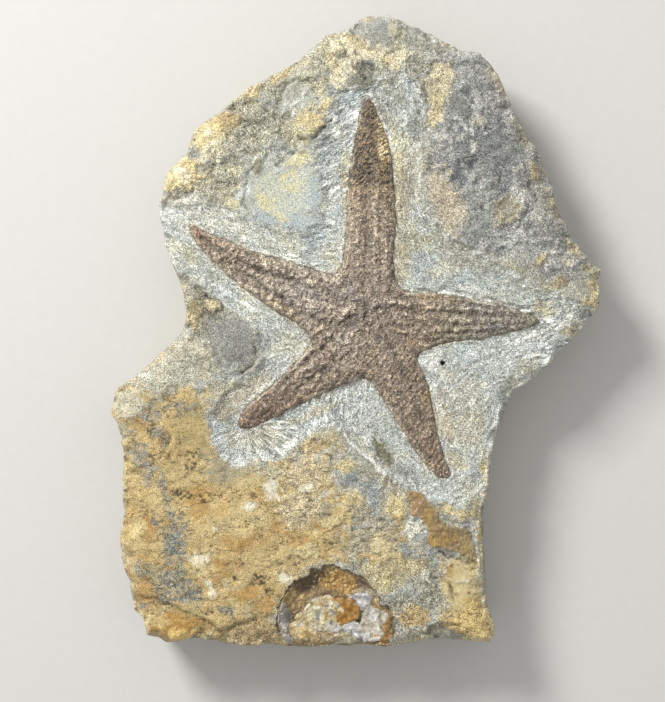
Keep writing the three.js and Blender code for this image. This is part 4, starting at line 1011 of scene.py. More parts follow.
# cloudy washes of other colours: colour, strength, the levels of a noise between which the wash comes in,
# and the noise's stretch, size, layers and seed
rockWashes = {
    "fresh": [("#c4b994", 0.6, 0, 0.7, 1, 6, 3, 33)],
    "darkRock": [
        ("#868989", 0.6, 0.05, 0.5, (1, 0.6, 1), 5, 4, 34),
        ("#cac8bf", 0.8, 0.25, 0.5, (1, 0.6, 1), 3.5, 4, 35)],
    "ochre": [
        ("#b7965f", 0.6, 0, 0.7, 1, 9, 3, 37), ("#d8c48f", 0.6, 0, 0.7, 1, 7, 3, 38),
        ("#a39c82", 0.5, 0.2, 0.8, 1, 6, 4, 39)],
    "bay": [("#b2bab9", 0.6, -0.1, 0.7, 1, 10, 3, 40), ("#cfccb4", 0.6, -0.1, 0.7, 1, 8, 3, 41)],
    "wall": [
        ("#85857b", 0.8, -0.1, 0.5, (0.25, 0.25, 1), 2.4, 3, 42),
        ("#b7a57a", 0.7, 0, 0.5, (0.5, 0.5, 1), 8, 4, 43),
        # the thin dark streaks (#5f5b50) are painted shade in bedding cracks of the broken wall
        ("#6f6c61", 0.5, 0.1, 0.5, 1, 5, 4, 96), ("#5f5b50", 0.6, 0.15, 0.4, (0.12, 0.12, 1), 1.3, 2, 98),
        ("#c2bca6", 0.35, 0.15, 0.45, (0.2, 0.2, 1), 1.8, 3, 99)],
}


def plainRock(name, points):
    return cloudWashes(np.tile(hexColour(rockColours[name]), (len(points), 1)), name, points)


def cloudWashes(colours, name, points, share=1):
    for tone, strength, low, high, stretch, size, layers, seed in rockWashes[name]:
        cloud = ramp(low, high, roughNoise(points * stretch, size, layers, seed))
        colours = washOver(colours, tone, strength * share * cloud)
    return colours


def rockLooks(land, points, buried):   # buried is 0 on the face and 1 well down the wall and on the back
    noise = partial(roughNoise, points)
    face = 1 - buried
    mottle, fine = noise(9, 4, 30), noise(2.2, 3, 31)
    specks = np.random.default_rng(32).normal(size=len(points))
    inBay = ramp(-0.9, 0.9, land.halo) * face
    outside = face * (1 - inBay)
    dark = ramp(-2, 3, land.darkRock) * face
    ochre = ramp(-2.5, 2.0, land.ochre + 1.4 * fine) * face
    stone = np.tile(hexColour(rockColours["fresh"]), (len(points), 1))
    stone = washOver(stone, rockColours["blue"], 0.6 * ramp(-0.1, 0.6, mottle + 0.3 * fine))
    stone = cloudWashes(stone, "fresh", points)
    for name, share, strength in (("darkRock", dark, 0.9), ("ochre", ochre, 0.95)):
        stone = cloudWashes(washOver(stone, rockColours[name], strength * share), name, points, share)
    for name, (colour, strength, *rest) in features.items():
        stone = washOver(stone, colour, strength * land.cover[name] * outside)
    for colour, strength in land.rockTones:
        stone = washOver(stone, colour, strength * outside)
    # along the broken edge the rind is stained
    rim = np.exp(-np.maximum(land.edge, 0) / 1.8) * ramp(-0.3, 0.3, noise(8, 3, 36)) * face
    stone = washOver(stone, rockColours["rind"], 0.65 * rim)
    stone = washOver(stone, rockColours["vugRim"], 0.9 * ramp(-0.2, 0.4, land.vug) * face)
    bay = plainRock("bay", points)
    for colour, strength in land.bayTones:
        bay = washOver(bay, colour, strength)
    stone = stone * (1 - inBay[:, None]) + bay * inBay[:, None]
    stone = stone * (1 - buried[:, None]) + plainRock("wall", points) * buried[:, None]
    # light and dark clots, with painted shade in the crevices and low between the chips; on the ochre beds,
    # painted shade at the foot of each step and a painted highlight at its top edge
    coarse = np.maximum(land.coarse, 0.15 * dark) * outside
    bedStepLightAndShade = 0.05 * ramp(0.75, 1.0, land.bedEdge) - 0.15 * ramp(0.12, 0.0, land.bedEdge)
    clotsAndShade = 0.1 * mottle + 0.1 * land.lumps + 0.12 * land.grit + 0.1 * noise(0.95, 2, 48) + 0.08 * specks
    clotsAndShade += (0.4 + 0.6 * coarse) * (0.3 * np.minimum(land.crevice, 0.25) + 0.25 * land.chips) * outside
    # painted shade: each face of the blocks and chips a little lighter or darker
    facets = 0.2 * (land.blockTone - 0.5) + 0.16 * (land.chipTone - 0.5)
    clotsAndShade += facets * (1 + dark) * outside * (1 - land.smooth)
    rough = 0.8 + 0.6 * coarse - (0.5 * land.smooth + 0.35 * ochre) * (1 - inBay)
    stone = stone * np.clip(1 + clotsAndShade * rough + ochre * outside * bedStepLightAndShade, 0.25, 1.9)[:, None]
    # crushed lime in the strokes, on the bay's rims and round the fossil; along some of the fossil's rims and
    # on the raised lines it is painted paler as a highlight
    bright = ramp(0.0, 0.5, ovalCover(land.x, land.y, rimHighlights))
    collar = np.exp(-((land.fossil + 0.5 + 0.25 * bright) / (0.5 + 0.35 * bright)) ** 2) * face
    collar = collar * np.clip(0.5 + 0.5 * bright + noise(2.6, 3, 56), 0, 1.2 + 0.5 * bright)
    stain = ramp(-1.3, 0.1, land.fossil + 0.7 * fine) * (1 - collar)
    stone = washOver(stone, rockColours["fossilStain"], 0.55 * np.clip(stain, 0, 1) * face)
    fringe = np.exp(-((land.halo - 0.3) / 0.8) ** 2) * face
    film = inBay * (0.06 + 0.3 * land.strokes) + 0.45 * collar + 0.25 * fringe * (land.strokes > 0)
    film = np.maximum(film, land.ridgePale * face)
    film += 0.2 * np.exp(-np.maximum(land.edge, 0) / 1.2) * face + 0.1 * outside * (1 - land.smooth)
    # painted shade in the cracks, the hole and along the hollow's rim, and the real dark of the branching
    # stains
    hole = np.hypot(land.x - pinHole[0], land.y - pinHole[1])
    dotMiddle, dotToken = grains(land.x, land.y, 0.85, 9)
    dots = ramp(0.62, 0.4, dotMiddle) * (dotToken > 0.5)
    branches = np.maximum(ramp(0.26, 0.12, np.abs(noise(1.7, 2, 49))), dots)
    shade = np.max([
        land.crackShade, 1.1 * ramp(0.85, 0.55, hole), 0.4 * np.exp(-((land.vug - 0.3) / 0.3) ** 2),
        0.9 * branches * ramp(-0.1, 0.1, land.dendrite)], axis=0) * face
    grit = 0.9 + 0.15 * dark + 0.6 * coarse + 0.1 * inBay - 0.3 * buried
    grit = grit - (0.35 * land.smooth + 0.38 * ochre) * outside
    hairline = (0.3 + 0.7 * ochre) * outside * (1 - land.smooth) + 0.1 * inBay + 0.7 * buried
    return {
        "stone": stone, "film": np.clip(film, 0, 1), "shade": np.clip(shade, 0, 1), "grit": grit,
        "open": np.clip(hairline, 0, 1), "brushed": (inBay * 0.9 + 0.1 * face) * land.combed,
        "brush": land.brush}


def wallPlace(rim, outward, z):   # where the broken wall stands at these heights
    levels, draws = zip(*slab["wallIn"])
    draw = np.interp(z, levels, draws)
    flare = ramp(30, 34, rim[:, 0]) * ramp(-84, -78, rim[:, 1])
    flare = flare * ramp(-50, -56, rim[:, 1])
    draw = draw + flare * 3.0 * ramp(10, 22, z)
    rock = np.column_stack([rim, z])
    noise = partial(roughNoise, rock)
    way = np.cumsum(np.linalg.norm(rim - np.roll(rim, 1, 0), axis=1))
    lower = ramp(21.5, 18, z)
    blocks = (crystals(way + 2 * noise(9, 2, 95), z * 1.5, 8, 15, 0.3, 0.15)[0] - 2.2) * lower
    chips = crystals(way + noise(4, 2, 97), z * 1.3, 3.2, 16, 0.35, 0.2)[0] - 0.9
    beds = 0.5 * grainNoise(rock * (0.12, 0.12, 1), 1.7, 40)
    beds = beds + 0.25 * grainNoise(rock * (0.3, 0.3, 1), 0.9, 41)
    rough = 0.9 * noise(8, 4, 42) + 0.3 * noise(1.8, 3, 43) + 1.3 * blocks + 0.5 * chips * lower
    return rim - outward * (draw + np.maximum(0.35 - 0.8 * rough - beds, -0.05))[:, None]


def slabRings(rim):   # the broken wall, from the edge of the face down to the back
    outward = rim / np.linalg.norm(rim, axis=1)[:, None]
    edge = wallPlace(rim, outward, np.full(len(rim), slab["faceLevel"] - slab["edgeDrop"]))
    top = faceHeight(survey(edge[:, 0], edge[:, 1]))
    rings = [np.column_stack([edge, top])]
    for level in range(1, slab["wallLevels"]):
        z = top * (1 - level / (slab["wallLevels"] - 1))
        rings.append(np.column_stack([wallPlace(rim, outward, z), z]))
    return rings


def collarPoints():   # points that follow the fossil's edge, so that the rock meets it in a clean line
    loop = fossilRim(0.4)
    way = np.roll(loop, -1, 0) - np.roll(loop, 1, 0)
    outward = np.column_stack([way[:, 1], -way[:, 0]]) / np.linalg.norm(way, axis=1)[:, None]
    if insideDistance(*(loop + 0.1 * outward)[:1].T, loop)[0] > 0:
        outward = -outward
    return np.vstack([loop + outward * away for away in slab["collar"]])


def makeSlab():
    rim = evenSteps(slab["outline"], slab["rimStep"], closed=True)
    rings = slabRings(rim)
    inner = scatterPoints(rings[0][:, :2], slab["faceGrain"], 0.3, 50)
    depth = fossilDepth(inner[:, 0], inner[:, 1])
    inner = inner[((depth < 1.8) & (depth > 0.05)) | (depth < -slab["collar"][-1] - 0.12)]
    under = scatterPoints(np.array(fossil["outline"]), slab["hiddenGrain"], 2.2, 51)
    face = np.vstack([inner, collarPoints(), under])
    face = np.column_stack([face, faceHeight(survey(face[:, 0], face[:, 1]))])
    back = scatterPoints(rings[-1][:, :2], slab["backGrain"], 1.0, 52)
    hollow = roughNoise(flatPlaces(*back.T), 22, 3, 53)
    back = np.column_stack([back, np.clip(hollow * 1.4, 0, 0.9)])
    points, triangles = closedBody(rings, face, back)
    land = survey(points[:, 0], points[:, 1])
    buried = np.zeros(len(points))
    fall = np.repeat(np.arange(slab["wallLevels"]), len(rim)) / slab["stainLevels"]
    buried[:len(fall)] = np.clip(fall, 0, 1)
    buried[len(points) - len(back):] = 1
    return points, triangles, rockLooks(land, points, buried)


def alongTones(tones, share):   # a colour for each share of the way along, from a list of stops
    marks = [mark for mark, tone in tones]
    colours = np.array([hexColour(tone) for mark, tone in tones])
    return np.column_stack([np.interp(share, marks, colours[:, i]) for i in range(3)])


def fossilFace(x, y):   # height and colour of the fossil's upper side
    flat = flatPlaces(x, y)
    noise = partial(roughNoise, flat)
    inside = fossilDepth(x, y)
    # what each place takes from the arm that it is nearest to
    ways = np.array([lineDistance(x, y, arm["line"]) for arm in arms.values()])
    nearest = np.argmin(ways[:, 0], axis=0)
    away, along, side = ways[nearest, :, np.arange(len(x))].T
    across = away * side
    share = along / np.array([lineLength(arm["line"]) for arm in arms.values()])[nearest]
    tone = np.array([alongTones(arm["tones"], share) for arm in arms.values()])[nearest, np.arange(len(x))]
    knobs, rows, ridges, lean = (
        np.array([arm[trait] for arm in arms.values()])[nearest]
        for trait in ("knobs", "rows", "ridges", "lean"))
    onTop = nearest == list(arms).index("top")
    wobble, clumps, fine, broad = noise(3, 2, 70), noise(1.9, 2, 72), noise(0.6, 2, 75), noise(4.5, 2, 78)
    specks = np.random.default_rng(76).normal(size=len(x))
    rise = 1 - (1 - np.clip(inside / fossil["shoulder"], 0, 1)) ** 2.2
    z = slab["faceLevel"] - slab["bayDepth"] + 0.1 + fossil["lip"] * ramp(0, 0.5, inside)
    z -= 0.6 * ramp(0.3, 0, inside)
    z += (fossil["crown"] - fossil["lip"]) * rise + 0.18 * noise(6, 3, 71)
    # small plates all over, and big ones in loose rows along each arm
    middle, token = grains(x + 0.25 * wobble, y + 0.25 * clumps, fossil["plate"], 3)
    plate = np.clip(1.1 - middle * 1.5, 0, 1) * (0.3 + 0.9 * token)
    knobMiddle, knobToken = grains(along + 0.9 * wobble, across + 0.7 * wobble, fossil["knob"], 5, 0.75)
    knob = np.clip(1.15 - knobMiddle * 1.6, 0, 1) * (0.15 + knobToken) * knobs
    wave = np.cos(2 * np.pi * (along + across * lean + 0.5 * wobble) / fossil["ridge"])
    lengthwise = np.cos(2 * np.pi * (across + 0.8 * wobble) / fossil["row"]) * (0.7 + clumps)
    band = ridges * ramp(6, 14, along) * wave * (0.6 + clumps)
    band += 1.4 * rows * ramp(5, 11, along) * lengthwise
    skin = fossil["plateRise"] * plate + fossil["knobRise"] * knob + 0.14 * band
    skin += 0.22 * clumps + 0.12 * broad + 0.09 * fine + 0.03 * specks
    z += ramp(0, 0.8, inside) * skin
    # dark holds the painted shade in the furrows, pale the raised rows
    dark, pale = np.zeros(len(x)), np.zeros(len(x))
    patchy = np.clip(0.9 + 0.5 * clumps, 0.4, 1.2)
    for depth, halfWidth, darkness, line in furrows:
        away = lineDistance(x + 0.5 * wobble, y + 0.4 * clumps, line)[0]
        z -= depth * patchy * np.exp(-(away / halfWidth) ** 2)
        dark = np.maximum(dark, darkness * patchy * np.exp(-(away / halfWidth) ** 2 * 0.8))
    for height, halfWidth, line in crests:
        away, travelled, side = lineDistance(x + 0.5 * wobble, y + 0.4 * clumps, line)
        beads = 0.7 + 0.55 * np.cos(2 * np.pi * (travelled + 0.6 * wobble) / fossil["bead"])
        row = beads * np.exp(-(away / halfWidth) ** 2)
        z += height * row
        pale = np.maximum(pale, row)
    hollow = ramp(-0.3, 0.9, ovalCover(x + 0.3 * clumps, y + 0.3 * wobble, holes) + 0.5 * fine)
    # towards the tip of the top arm: short sunk gaps with painted shade that lean to the right, tan ridges on
    # the right side
    tip = onTop * ramp(-0.012, 0.012, share - darkTip["from"] + 0.012 * clumps)
    leaning = np.column_stack([(x * 0.77 + y * 0.64) / 2.2, y * 0.77 - x * 0.64, flat[:, 2]])
    gaps = ramp(0.0, 0.3, roughNoise(leaning, 0.85, 2, 77) + 0.22 * ramp(-3, 2, across) - 0.1)
    gaps = np.maximum(gaps * ramp(-2.6, -0.8, across), 0.2 * gaps) * tip
    tanSide = tip * ramp(-1.8, -3.2, across) * ramp(0.69, 0.74, share)
    z -= 0.3 * gaps + 0.4 * hollow
    z += 0.2 * tanSide * np.cos(2 * np.pi * (y - 0.5 * x) / 1.2)
    # painted shade and highlight: the colour is lighter where the plates, knobs and rows stand high and
    # darker where they lie low
    level = 0.4 * plate + 0.55 * knob + 0.12 * band + 0.2 * clumps + 0.14 * broad
    level += 0.22 * fine + 0.12 * specks + 0.15 * pale - 0.42
    colour = tone * np.clip(1 + 1.25 * level, 0.3, 2.4)[:, None]
    for text, strength, marks in skinTones:
        patch = ovalCover(x + 0.8 * wobble, y + 0.8 * clumps, marks) + 0.35 * clumps
        tint = hexColour(text) / hexColour(fossil["middleTone"])
        colour = colour * (1 + strength * ramp(-0.2, 0.7, patch)[:, None] * (tint - 1))
    # painted highlight on the high tops, painted shade in the low places and in the furrows and holes between
    worn = np.clip(0.4 * ramp(0.1, 0.6, level) + 0.45 * pale * ramp(-0.3, 0.3, level), 0, 1)
    gap = np.clip((0.55 + 0.45 * ramp(0.3, -0.2, level)) * dark + 0.8 * hollow, 0, 0.9)
    dust = ramp(0.9, 0.0, inside + 0.9 * clumps) * ramp(-0.3, 0.3, wobble)
    for text, cover in (
            (fossil["worn"], worn), (fossil["dirt"], 0.5 * ramp(-0.05, -0.45, level)),
            (darkTip["tan"], 0.9 * tanSide * ramp(-0.4, 0.1, level)), (fossil["gap"], gap),
            (darkTip["gaps"], 0.85 * gaps), (fossil["dust"], 0.6 * dust)):
        colour = washOver(colour, text, cover)
    return softCeiling(z, fossil["highest"], 8), colour


# a closed body; the rim and then the inner points make its upper side, and each has its height and colour
def crust(rim, inner, z, shown, rimBottom, back, backBottom, under):
    count = len(rim)
    rings = [np.column_stack([rim, z[:count]]), np.column_stack([rim, rimBottom])]
    face, back = np.column_stack([inner, z[count:]]), np.column_stack([back, backBottom])
    points, triangles = closedBody(rings, face, back)
    colours = np.tile(under, (len(points), 1))
    colours[:count] = shown[:count]
    colours[2 * count:2 * count + len(inner)] = shown[count:]
    return points, triangles, colours


def makeFossil():
    rim = fossilRim(0.32)
    inner = scatterPoints(rim, fossil["grain"], 0.16, 73)
    z, shown = fossilFace(*np.vstack([rim, inner]).T)
    back = scatterPoints(rim, 1.6, 1.0, 74)
    rimBottom, backBottom = (np.full(len(places), fossil["bottom"]) for places in (rim, back))
    under = hexColour(fossil["under"])
    points, triangles, colours = crust(rim, inner, z, shown, rimBottom, back, backBottom, under)
    return points, triangles, {"plates": colours}


def addNode(tree, kind, settings={}, sockets={}, output=0):   # a socket takes a number, a colour or an output
    node = tree.nodes.new("ShaderNode" + kind)
    for name, value in settings.items():
        setattr(node, name, value)
    for name, value in sockets.items():
        if isinstance(value, bpy.types.NodeSocket):
            tree.links.new(value, node.inputs[name])
        else:
            node.inputs[name].default_value = value
    return node.outputs[output]


def startMaterial(name):
    material = bpy.data.materials.new(name)
    material.use_nodes = True
    tree = material.node_tree
    add = partial(addNode, tree)
    return material, tree, add, add("TexCoord", {}, {}, "Object")


def finishSurface(tree, add, colour, gloss, distance, height):   # what the rocks' materials end with
    bump = add("Bump", {}, {"Strength": 1.0, "Distance": distance, "Height": height})
    shader = tree.nodes["Principled BSDF"]
    for name, source in (("Base Color", colour), ("Roughness", gloss), ("Normal", bump)):
        tree.links.new(source, shader.inputs[name])


multiplyAdd = {"operation": "MULTIPLY_ADD"}
colourMix = {"data_type": "RGBA"}
colourMultiply = {"data_type": "RGBA", "blend_type": "MULTIPLY"}


mudstoneFinish = {
    "silt": 0.22,            # single grains, drawn coarser than the real 0.05 mm so that they show
    "sand": 0.5,             # clots of grains
    "clod": 1.7,             # patches that broke away together
    "stroke": 0.8,           # width of the scribe's finer strokes
    "hairline": 5.0,         # size of the pieces between hairline cracks
    "contrast": (6.8, 1.9, 0.5, 2.2),   # of silt, sand, clod and stroke
    "warmGrain": "#fff4de",
    "coolGrain": "#ebf3fa",
    "lime": "#f2f2ea",       # crushed lime left by the cleaning
    # this colour is painted shade in the cracks, the hole and the hollow's rim, and the real colour of the
    # branching stains
    "shadeAndStain": "#3a342a",
    "roughness": (0.68, 0.95),
    "bump": 0.0003,
}


def splitMudstone():
    # Limy mudstone, split with a hammer and cleaned round the fossil with an air scribe: matt, gritty,
    # blue-grey where fresh, ochre where iron water has soaked in, with pale crushed lime in the tool marks.
    finish = mudstoneFinish
    material, tree, add, place = startMaterial("splitMudstone")
    looks = {}
    for look in ("stone", "film", "shade", "grit", "open", "brushed", "brush"):
        output = "Vector" if look == "brush" else "Color" if look == "stone" else "Fac"
        looks[look] = add("Attribute", {"attribute_name": look}, {}, output)
    aside = add("VectorMath", {"operation": "ADD"}, {0: place, 1: (1, 2, 3)})
    beds = add("VectorMath", {"operation": "MULTIPLY"}, {0: place, 1: (0.55, 1.1, 1)})
    noises = []
    for scale, detail, vector in (
            (perMetre(finish["silt"]), 1, place), (perMetre(finish["sand"]), 2, place),
            (perMetre(finish["clod"]), 3, place), (perMetre(finish["sand"] * 1.5), 2, aside),
            (1 / finish["stroke"], 2, looks["brush"]), (perMetre(finish["hairline"]), 3, beds)):
        noise = add("TexNoise", {}, {
            "Vector": vector, "Scale": scale, "Detail": detail, "Roughness": 0.6})
        noises.append(add("Math", {"operation": "SUBTRACT"}, {0: noise, 1: 0.5}))
    silt, sand, clod, hue, stroke, line = noises
    stroke = add("Math", {"operation": "MULTIPLY"}, {0: stroke, 1: looks["brushed"]})
    # each grain is a little warmer or cooler than the rock round it
    warm = add("Math", multiplyAdd, {0: hue, 1: 4.0, 2: 0.5})
    tints = {6: socketColour(finish["coolGrain"]), 7: socketColour(finish["warmGrain"])}
    grain = add("Mix", colourMix, {0: warm, **tints}, 2)
    colour = add("Mix", colourMultiply, {0: 0.4, 6: looks["stone"], 7: grain}, 2)
    # crushed lime sits on the high grains and on the crests of the strokes
    dusted = looks["film"]
    for value, strength in ((stroke, 1.5), (sand, 1.2)):
        dusted = add("Math", multiplyAdd, {0: value, 1: strength, 2: dusted})
    limed = add("MapRange", {"interpolation_type": "SMOOTHSTEP"}, {
        "Value": dusted, "From Min": 0.1, "From Max": 1.0, "To Max": 0.8})
    lime = socketColour(finish["lime"])
    colour = add("Mix", colourMix, {0: limed, 6: colour, 7: lime}, 2)
    # light and dark grains, stronger where the rock is broken coarse
    speck = 0.0
    for value, strength in zip((silt, sand, clod, stroke), finish["contrast"]):
        speck = add("Math", multiplyAdd, {0: value, 1: strength, 2: speck})
    speck = add("Math", multiplyAdd, {0: speck, 1: looks["grit"], 2: 1.06})
    speck = add("Math", {"operation": "MAXIMUM"}, {0: speck, 1: 0.3})
    colour = add("VectorMath", {"operation": "SCALE"}, {0: colour, "Scale": speck})
    # hairline cracks, drawn as painted shade and a little sunk, come and go with the clods
    line = add("Math", {"operation": "ABSOLUTE"}, {0: line})
    line = add("MapRange", {}, {"Value": line, "From Max": 0.03, "To Min": 1.0, "To Max": 0.0})
    hairline = add("MapRange", {}, {
        "Value": clod, "From Min": -0.08, "From Max": 0.04, "To Max": 0.75})
    for value in (looks["open"], line):
        hairline = add("Math", {"operation": "MULTIPLY"}, {0: hairline, 1: value})
    # painted shade in cracks and hairlines, with the real branching stains, darkens the colour
    dark = add("Math", {"operation": "MAXIMUM"}, {0: looks["shade"], 1: hairline})
    shadeAndStain = socketColour(finish["shadeAndStain"])
    colour = add("Mix", colourMix, {0: dark, 6: colour, 7: shadeAndStain}, 2)
    smooth, rough = finish["roughness"]
    gloss = add("MapRange", {}, {
        "Value": silt, "From Min": -0.2, "From Max": 0.2, "To Min": rough, "To Max": smooth})
    fine = add("Math", {"operation": "MULTIPLY"}, {0: sand, 1: 1.1})
    fine = add("Math", multiplyAdd, {0: silt, 1: 0.45, 2: fine})
    height = add("Math", {"operation": "MULTIPLY"}, {0: hairline, 1: -0.5})
    for value, strength in ((stroke, 1.6), (fine, looks["grit"])):
        height = add("Math", multiplyAdd, {0: value, 1: strength, 2: height})
    finishSurface(tree, add, colour, gloss, finish["bump"], height)
    return material


fossilFinish = {
    "pore": 0.25,             # mesh-like pores of the plates, drawn coarser than the real 0.02 mm
    "grain": 0.45,
    "contrast": (13.0, 3.0),  # of pores and grains
    "warm": "#fff0dc",
    "cool": "#f2f0f2",
    "fleck": 0.18,            # worn grains that show white
    "fleckTone": "#f1e9d9",
    "roughness": (0.5, 0.85),
    "bump": 0.00022,
}


def fossilCalcite():
    # Brown calcite that has replaced the animal's plates: matt to faintly waxy, each plate a pale grain
    # with painted shade in the gap round it.
    finish = fossilFinish
    material, tree, add, place = startMaterial("fossilCalcite")
    plates = add("Attribute", {"attribute_name": "plates"})
    noises = []
    for size, detail in ((finish["pore"], 1), (finish["grain"], 2), (finish["grain"] * 2, 2)):
        noise = add("TexNoise", {}, {
            "Vector": place, "Scale": perMetre(size), "Detail": detail, "Roughness": 0.6})
        noises.append(add("Math", {"operation": "SUBTRACT"}, {0: noise, 1: 0.5}))
    pore, grain, hue = noises
    speck = 1.06
    for value, strength in zip((grain, pore), reversed(finish["contrast"])):
        speck = add("Math", multiplyAdd, {0: value, 1: strength, 2: speck})
    speck = add("Math", {"operation": "MAXIMUM"}, {0: speck, 1: 0.3})
    warm = add("Math", multiplyAdd, {0: hue, 1: 4.0, 2: 0.5})
    tints = {6: socketColour(finish["cool"]), 7: socketColour(finish["warm"])}
    tint = add("Mix", colourMix, {0: warm, **tints}, 2)
    colour = add("Mix", colourMultiply, {0: 0.7, 6: plates, 7: tint}, 2)
    colour = add("VectorMath", {"operation": "SCALE"}, {0: colour, "Scale": speck})
    fleck = add("TexNoise", {}, {"Vector": place, "Scale": perMetre(finish["fleck"]), "Detail": 1})
    fleck = add("MapRange", {}, {
        "Value": fleck, "From Min": 0.55, "From Max": 0.68, "To Max": 0.7})
    fleckTone = socketColour(finish["fleckTone"])
    colour = add("Mix", colourMix, {0: fleck, 6: colour, 7: fleckTone}, 2)
    smooth, rough = finish["roughness"]
    gloss = add("MapRange", {}, {
        "Value": pore, "From Min": -0.25, "From Max": 0.25, "To Min": rough, "To Max": smooth})
    height = add("Math", multiplyAdd, {0: pore, 1: 0.4, 2: grain})
    finishSurface(tree, add, colour, gloss, finish["bump"], height)
    return material


mudstone = splitMudstone()
points, triangles, looks = makeSlab()
addPiece("matrixSlab", points, triangles, ["matrix_slab"], mudstone, looks)
points, triangles, looks = makeFossil()
addPiece("fossilStarfish", points, triangles, ["starfish"], fossilCalcite(), looks)


def widened(loop, margin):   # the outline moved outward from its middle
    loop = np.array(loop)
    away = loop - loop.mean(0)
    wider = loop + away * (margin / np.linalg.norm(away, axis=1))[:, None]
    return np.clip(wider, boxLow[:2] + 0.4, boxHigh[:2])


# a skin of crystal inside a closed line; surface gives its height and colour
def rockPatch(loop, spacing, seed, surface, thickness=2.5):
    rim = smoothLoop(loop, spacing * 1.3)
    inner = scatterPoints(rim, spacing, spacing * 0.6, seed)
    x, y = np.vstack([rim, inner]).T
    z, shown = surface(x, y, insideDistance(x, y, rim))
    back = scatterPoints(rim, 1.5, 0.8, seed + 1)
    low = surface(*back.T, insideDistance(*back.T, rim))[0] - thickness
    rimLow = z[:len(rim)] - thickness
    points, triangles, colours = crust(rim, inner, z, shown, rimLow, back, low, shown.mean(0))
    return points, triangles, {"crystal": colours}


seam = {
    "outline": [
        (14.5, -46.3), (15, -49.5), (15.3, -53.5), (18.5, -55.2), (20.2, -58), (20.5, -62.2), (27, -64.3),
        (34.4, -66.2), (34.6, -61), (33, -57), (29, -56.2), (25.6, -55.2), (23.4, -51.6), (20.5, -48),
        (18.8, -46.6),
    ],
    "grain": 0.3,
    "tone": "#ab8d5b",
    "glints": [(18.4, -50, 0.9, 0.35, -10)],
}


def seamSurface(x, y, inside):   # broken across, so smooth curved faces that lie a little below the rock
    noise = partial(roughNoise, flatPlaces(x, y))
    facets = crystals(x + 0.4 * y, y, 3.8, 4, 0.14)[0] / 3.8
    edge = ramp(-0.1, 1.1, inside + 0.6 * noise(1.8, 3, 87))
    lift = edge * (0.55 + 0.4 * facets) - 0.45 + 0.05 * noise(1, 2, 80)
    z = np.minimum(faceHeight(survey(x, y)) + lift, slab["highest"])
    cloud, fine = noise(3.2, 3, 81), noise(1.0, 3, 82)
    glint = ovalCover(x, y, seam["glints"]) + 0.2 * fine
    colour = np.tile(hexColour(seam["tone"]), (len(x), 1))
    for text, cover in (
            ("#bd9a72", ramp(20.5, 17, x) * ramp(-48, -50, y)),
            ("#b6964f", ramp(-0.3, 0.6, cloud) * ramp(19, 22, x)),
            ("#84704f", ramp(0.0, 0.6, -cloud) * 0.7),
            ("#ad9864", 0.85 * ramp(28, 31.5, x + 1.5 * cloud)),
            ("#5d5245", 0.4 * ramp(0.1, 0.6, fine) * ramp(26, 30, x)),
            # painted shadow on the seam's upper side, under the rock that stands above it
            ("#857a5c", 0.7 * ramp(-57.5, -56, y + 0.4 * x - 10 + cloud) * ramp(21, 23, x)),
            ("#f0dcb4", 0.8 * ramp(0.2, 0.7, glint)),
            ("#b9ab88", 0.8 * ramp(1.3, 0.1, inside + 0.9 * cloud))):
        colour = washOver(colour, text, cover)
    return z, colour


druse = {
    "outline": [
        (-18.5, -91.6), (-22, -88), (-22.7, -83), (-21.3, -78), (-18.2, -74), (-13.8, -70.5), (-8.5, -68.3),
        (-4.6, -69.2), (-0.2, -71.4), (3.6, -73.5), (5.7, -75.8), (6.8, -79.3), (9.2, -81), (10.9, -84),
        (10.6, -88), (9.4, -91.3), (-4, -91),
    ],
    "grain": 0.2,
    "floor": 21.4,            # level of the crust between the crystals
    "tone": "#9c8459",
    "glint": "#ecdcb4",
    # crystals of other colours in the crust: colour, strength, then ovals
    "tones": [
        # the first, darkest brown is the crust under the upper left rim, deepened there by painted shade
        ("#5e4c36", 0.85, [
            (-14, -73.2, 4, 2.4, 35), (-17.6, -75.6, 2.6, 1.4, 50), (-10.6, -70.6, 2, 1.4, 30)]),
        ("#c09a58", 0.9, [(-4.6, -73.2, 5.6, 3.4, -15), (-1, -75.6, 3, 2, -20)]),
        ("#7d6c5a", 0.85, [(3, -74.6, 3.6, 1.8, -35), (5, -77.6, 2, 1.6, -50)]),
        ("#b79c68", 0.9, [(-17.6, -78.2, 2.8, 2.6)]),
        ("#8c7150", 0.7, [(-10, -76.4, 4, 1.4)]),
        ("#a8a39c", 0.9, [(-21, -83.8, 2.2, 4.6, 5), (-19.6, -88.4, 3, 2.4)]),
        ("#4d4338", 0.7, [(1.3, -83.4, 1.6, 2.8), (-4.5, -86.3, 1, 0.8), (9.9, -87, 1.4, 4)]),
        ("#8f7a55", 0.8, [(-16, -90.3, 3, 2, 30), (8.6, -83, 1.4, 2)]),
        ("#bfb296", 0.7, [(-11, -83, 5, 5), (3, -80, 5, 5), (-2, -88.5, 8, 2.6)]),
    ],
}


def rockLevel(x, y):   # the face as it was before the hollow opened in it
    land = survey(x, y)
    land.vug = np.full(len(x), -9.0)
    return faceHeight(land)


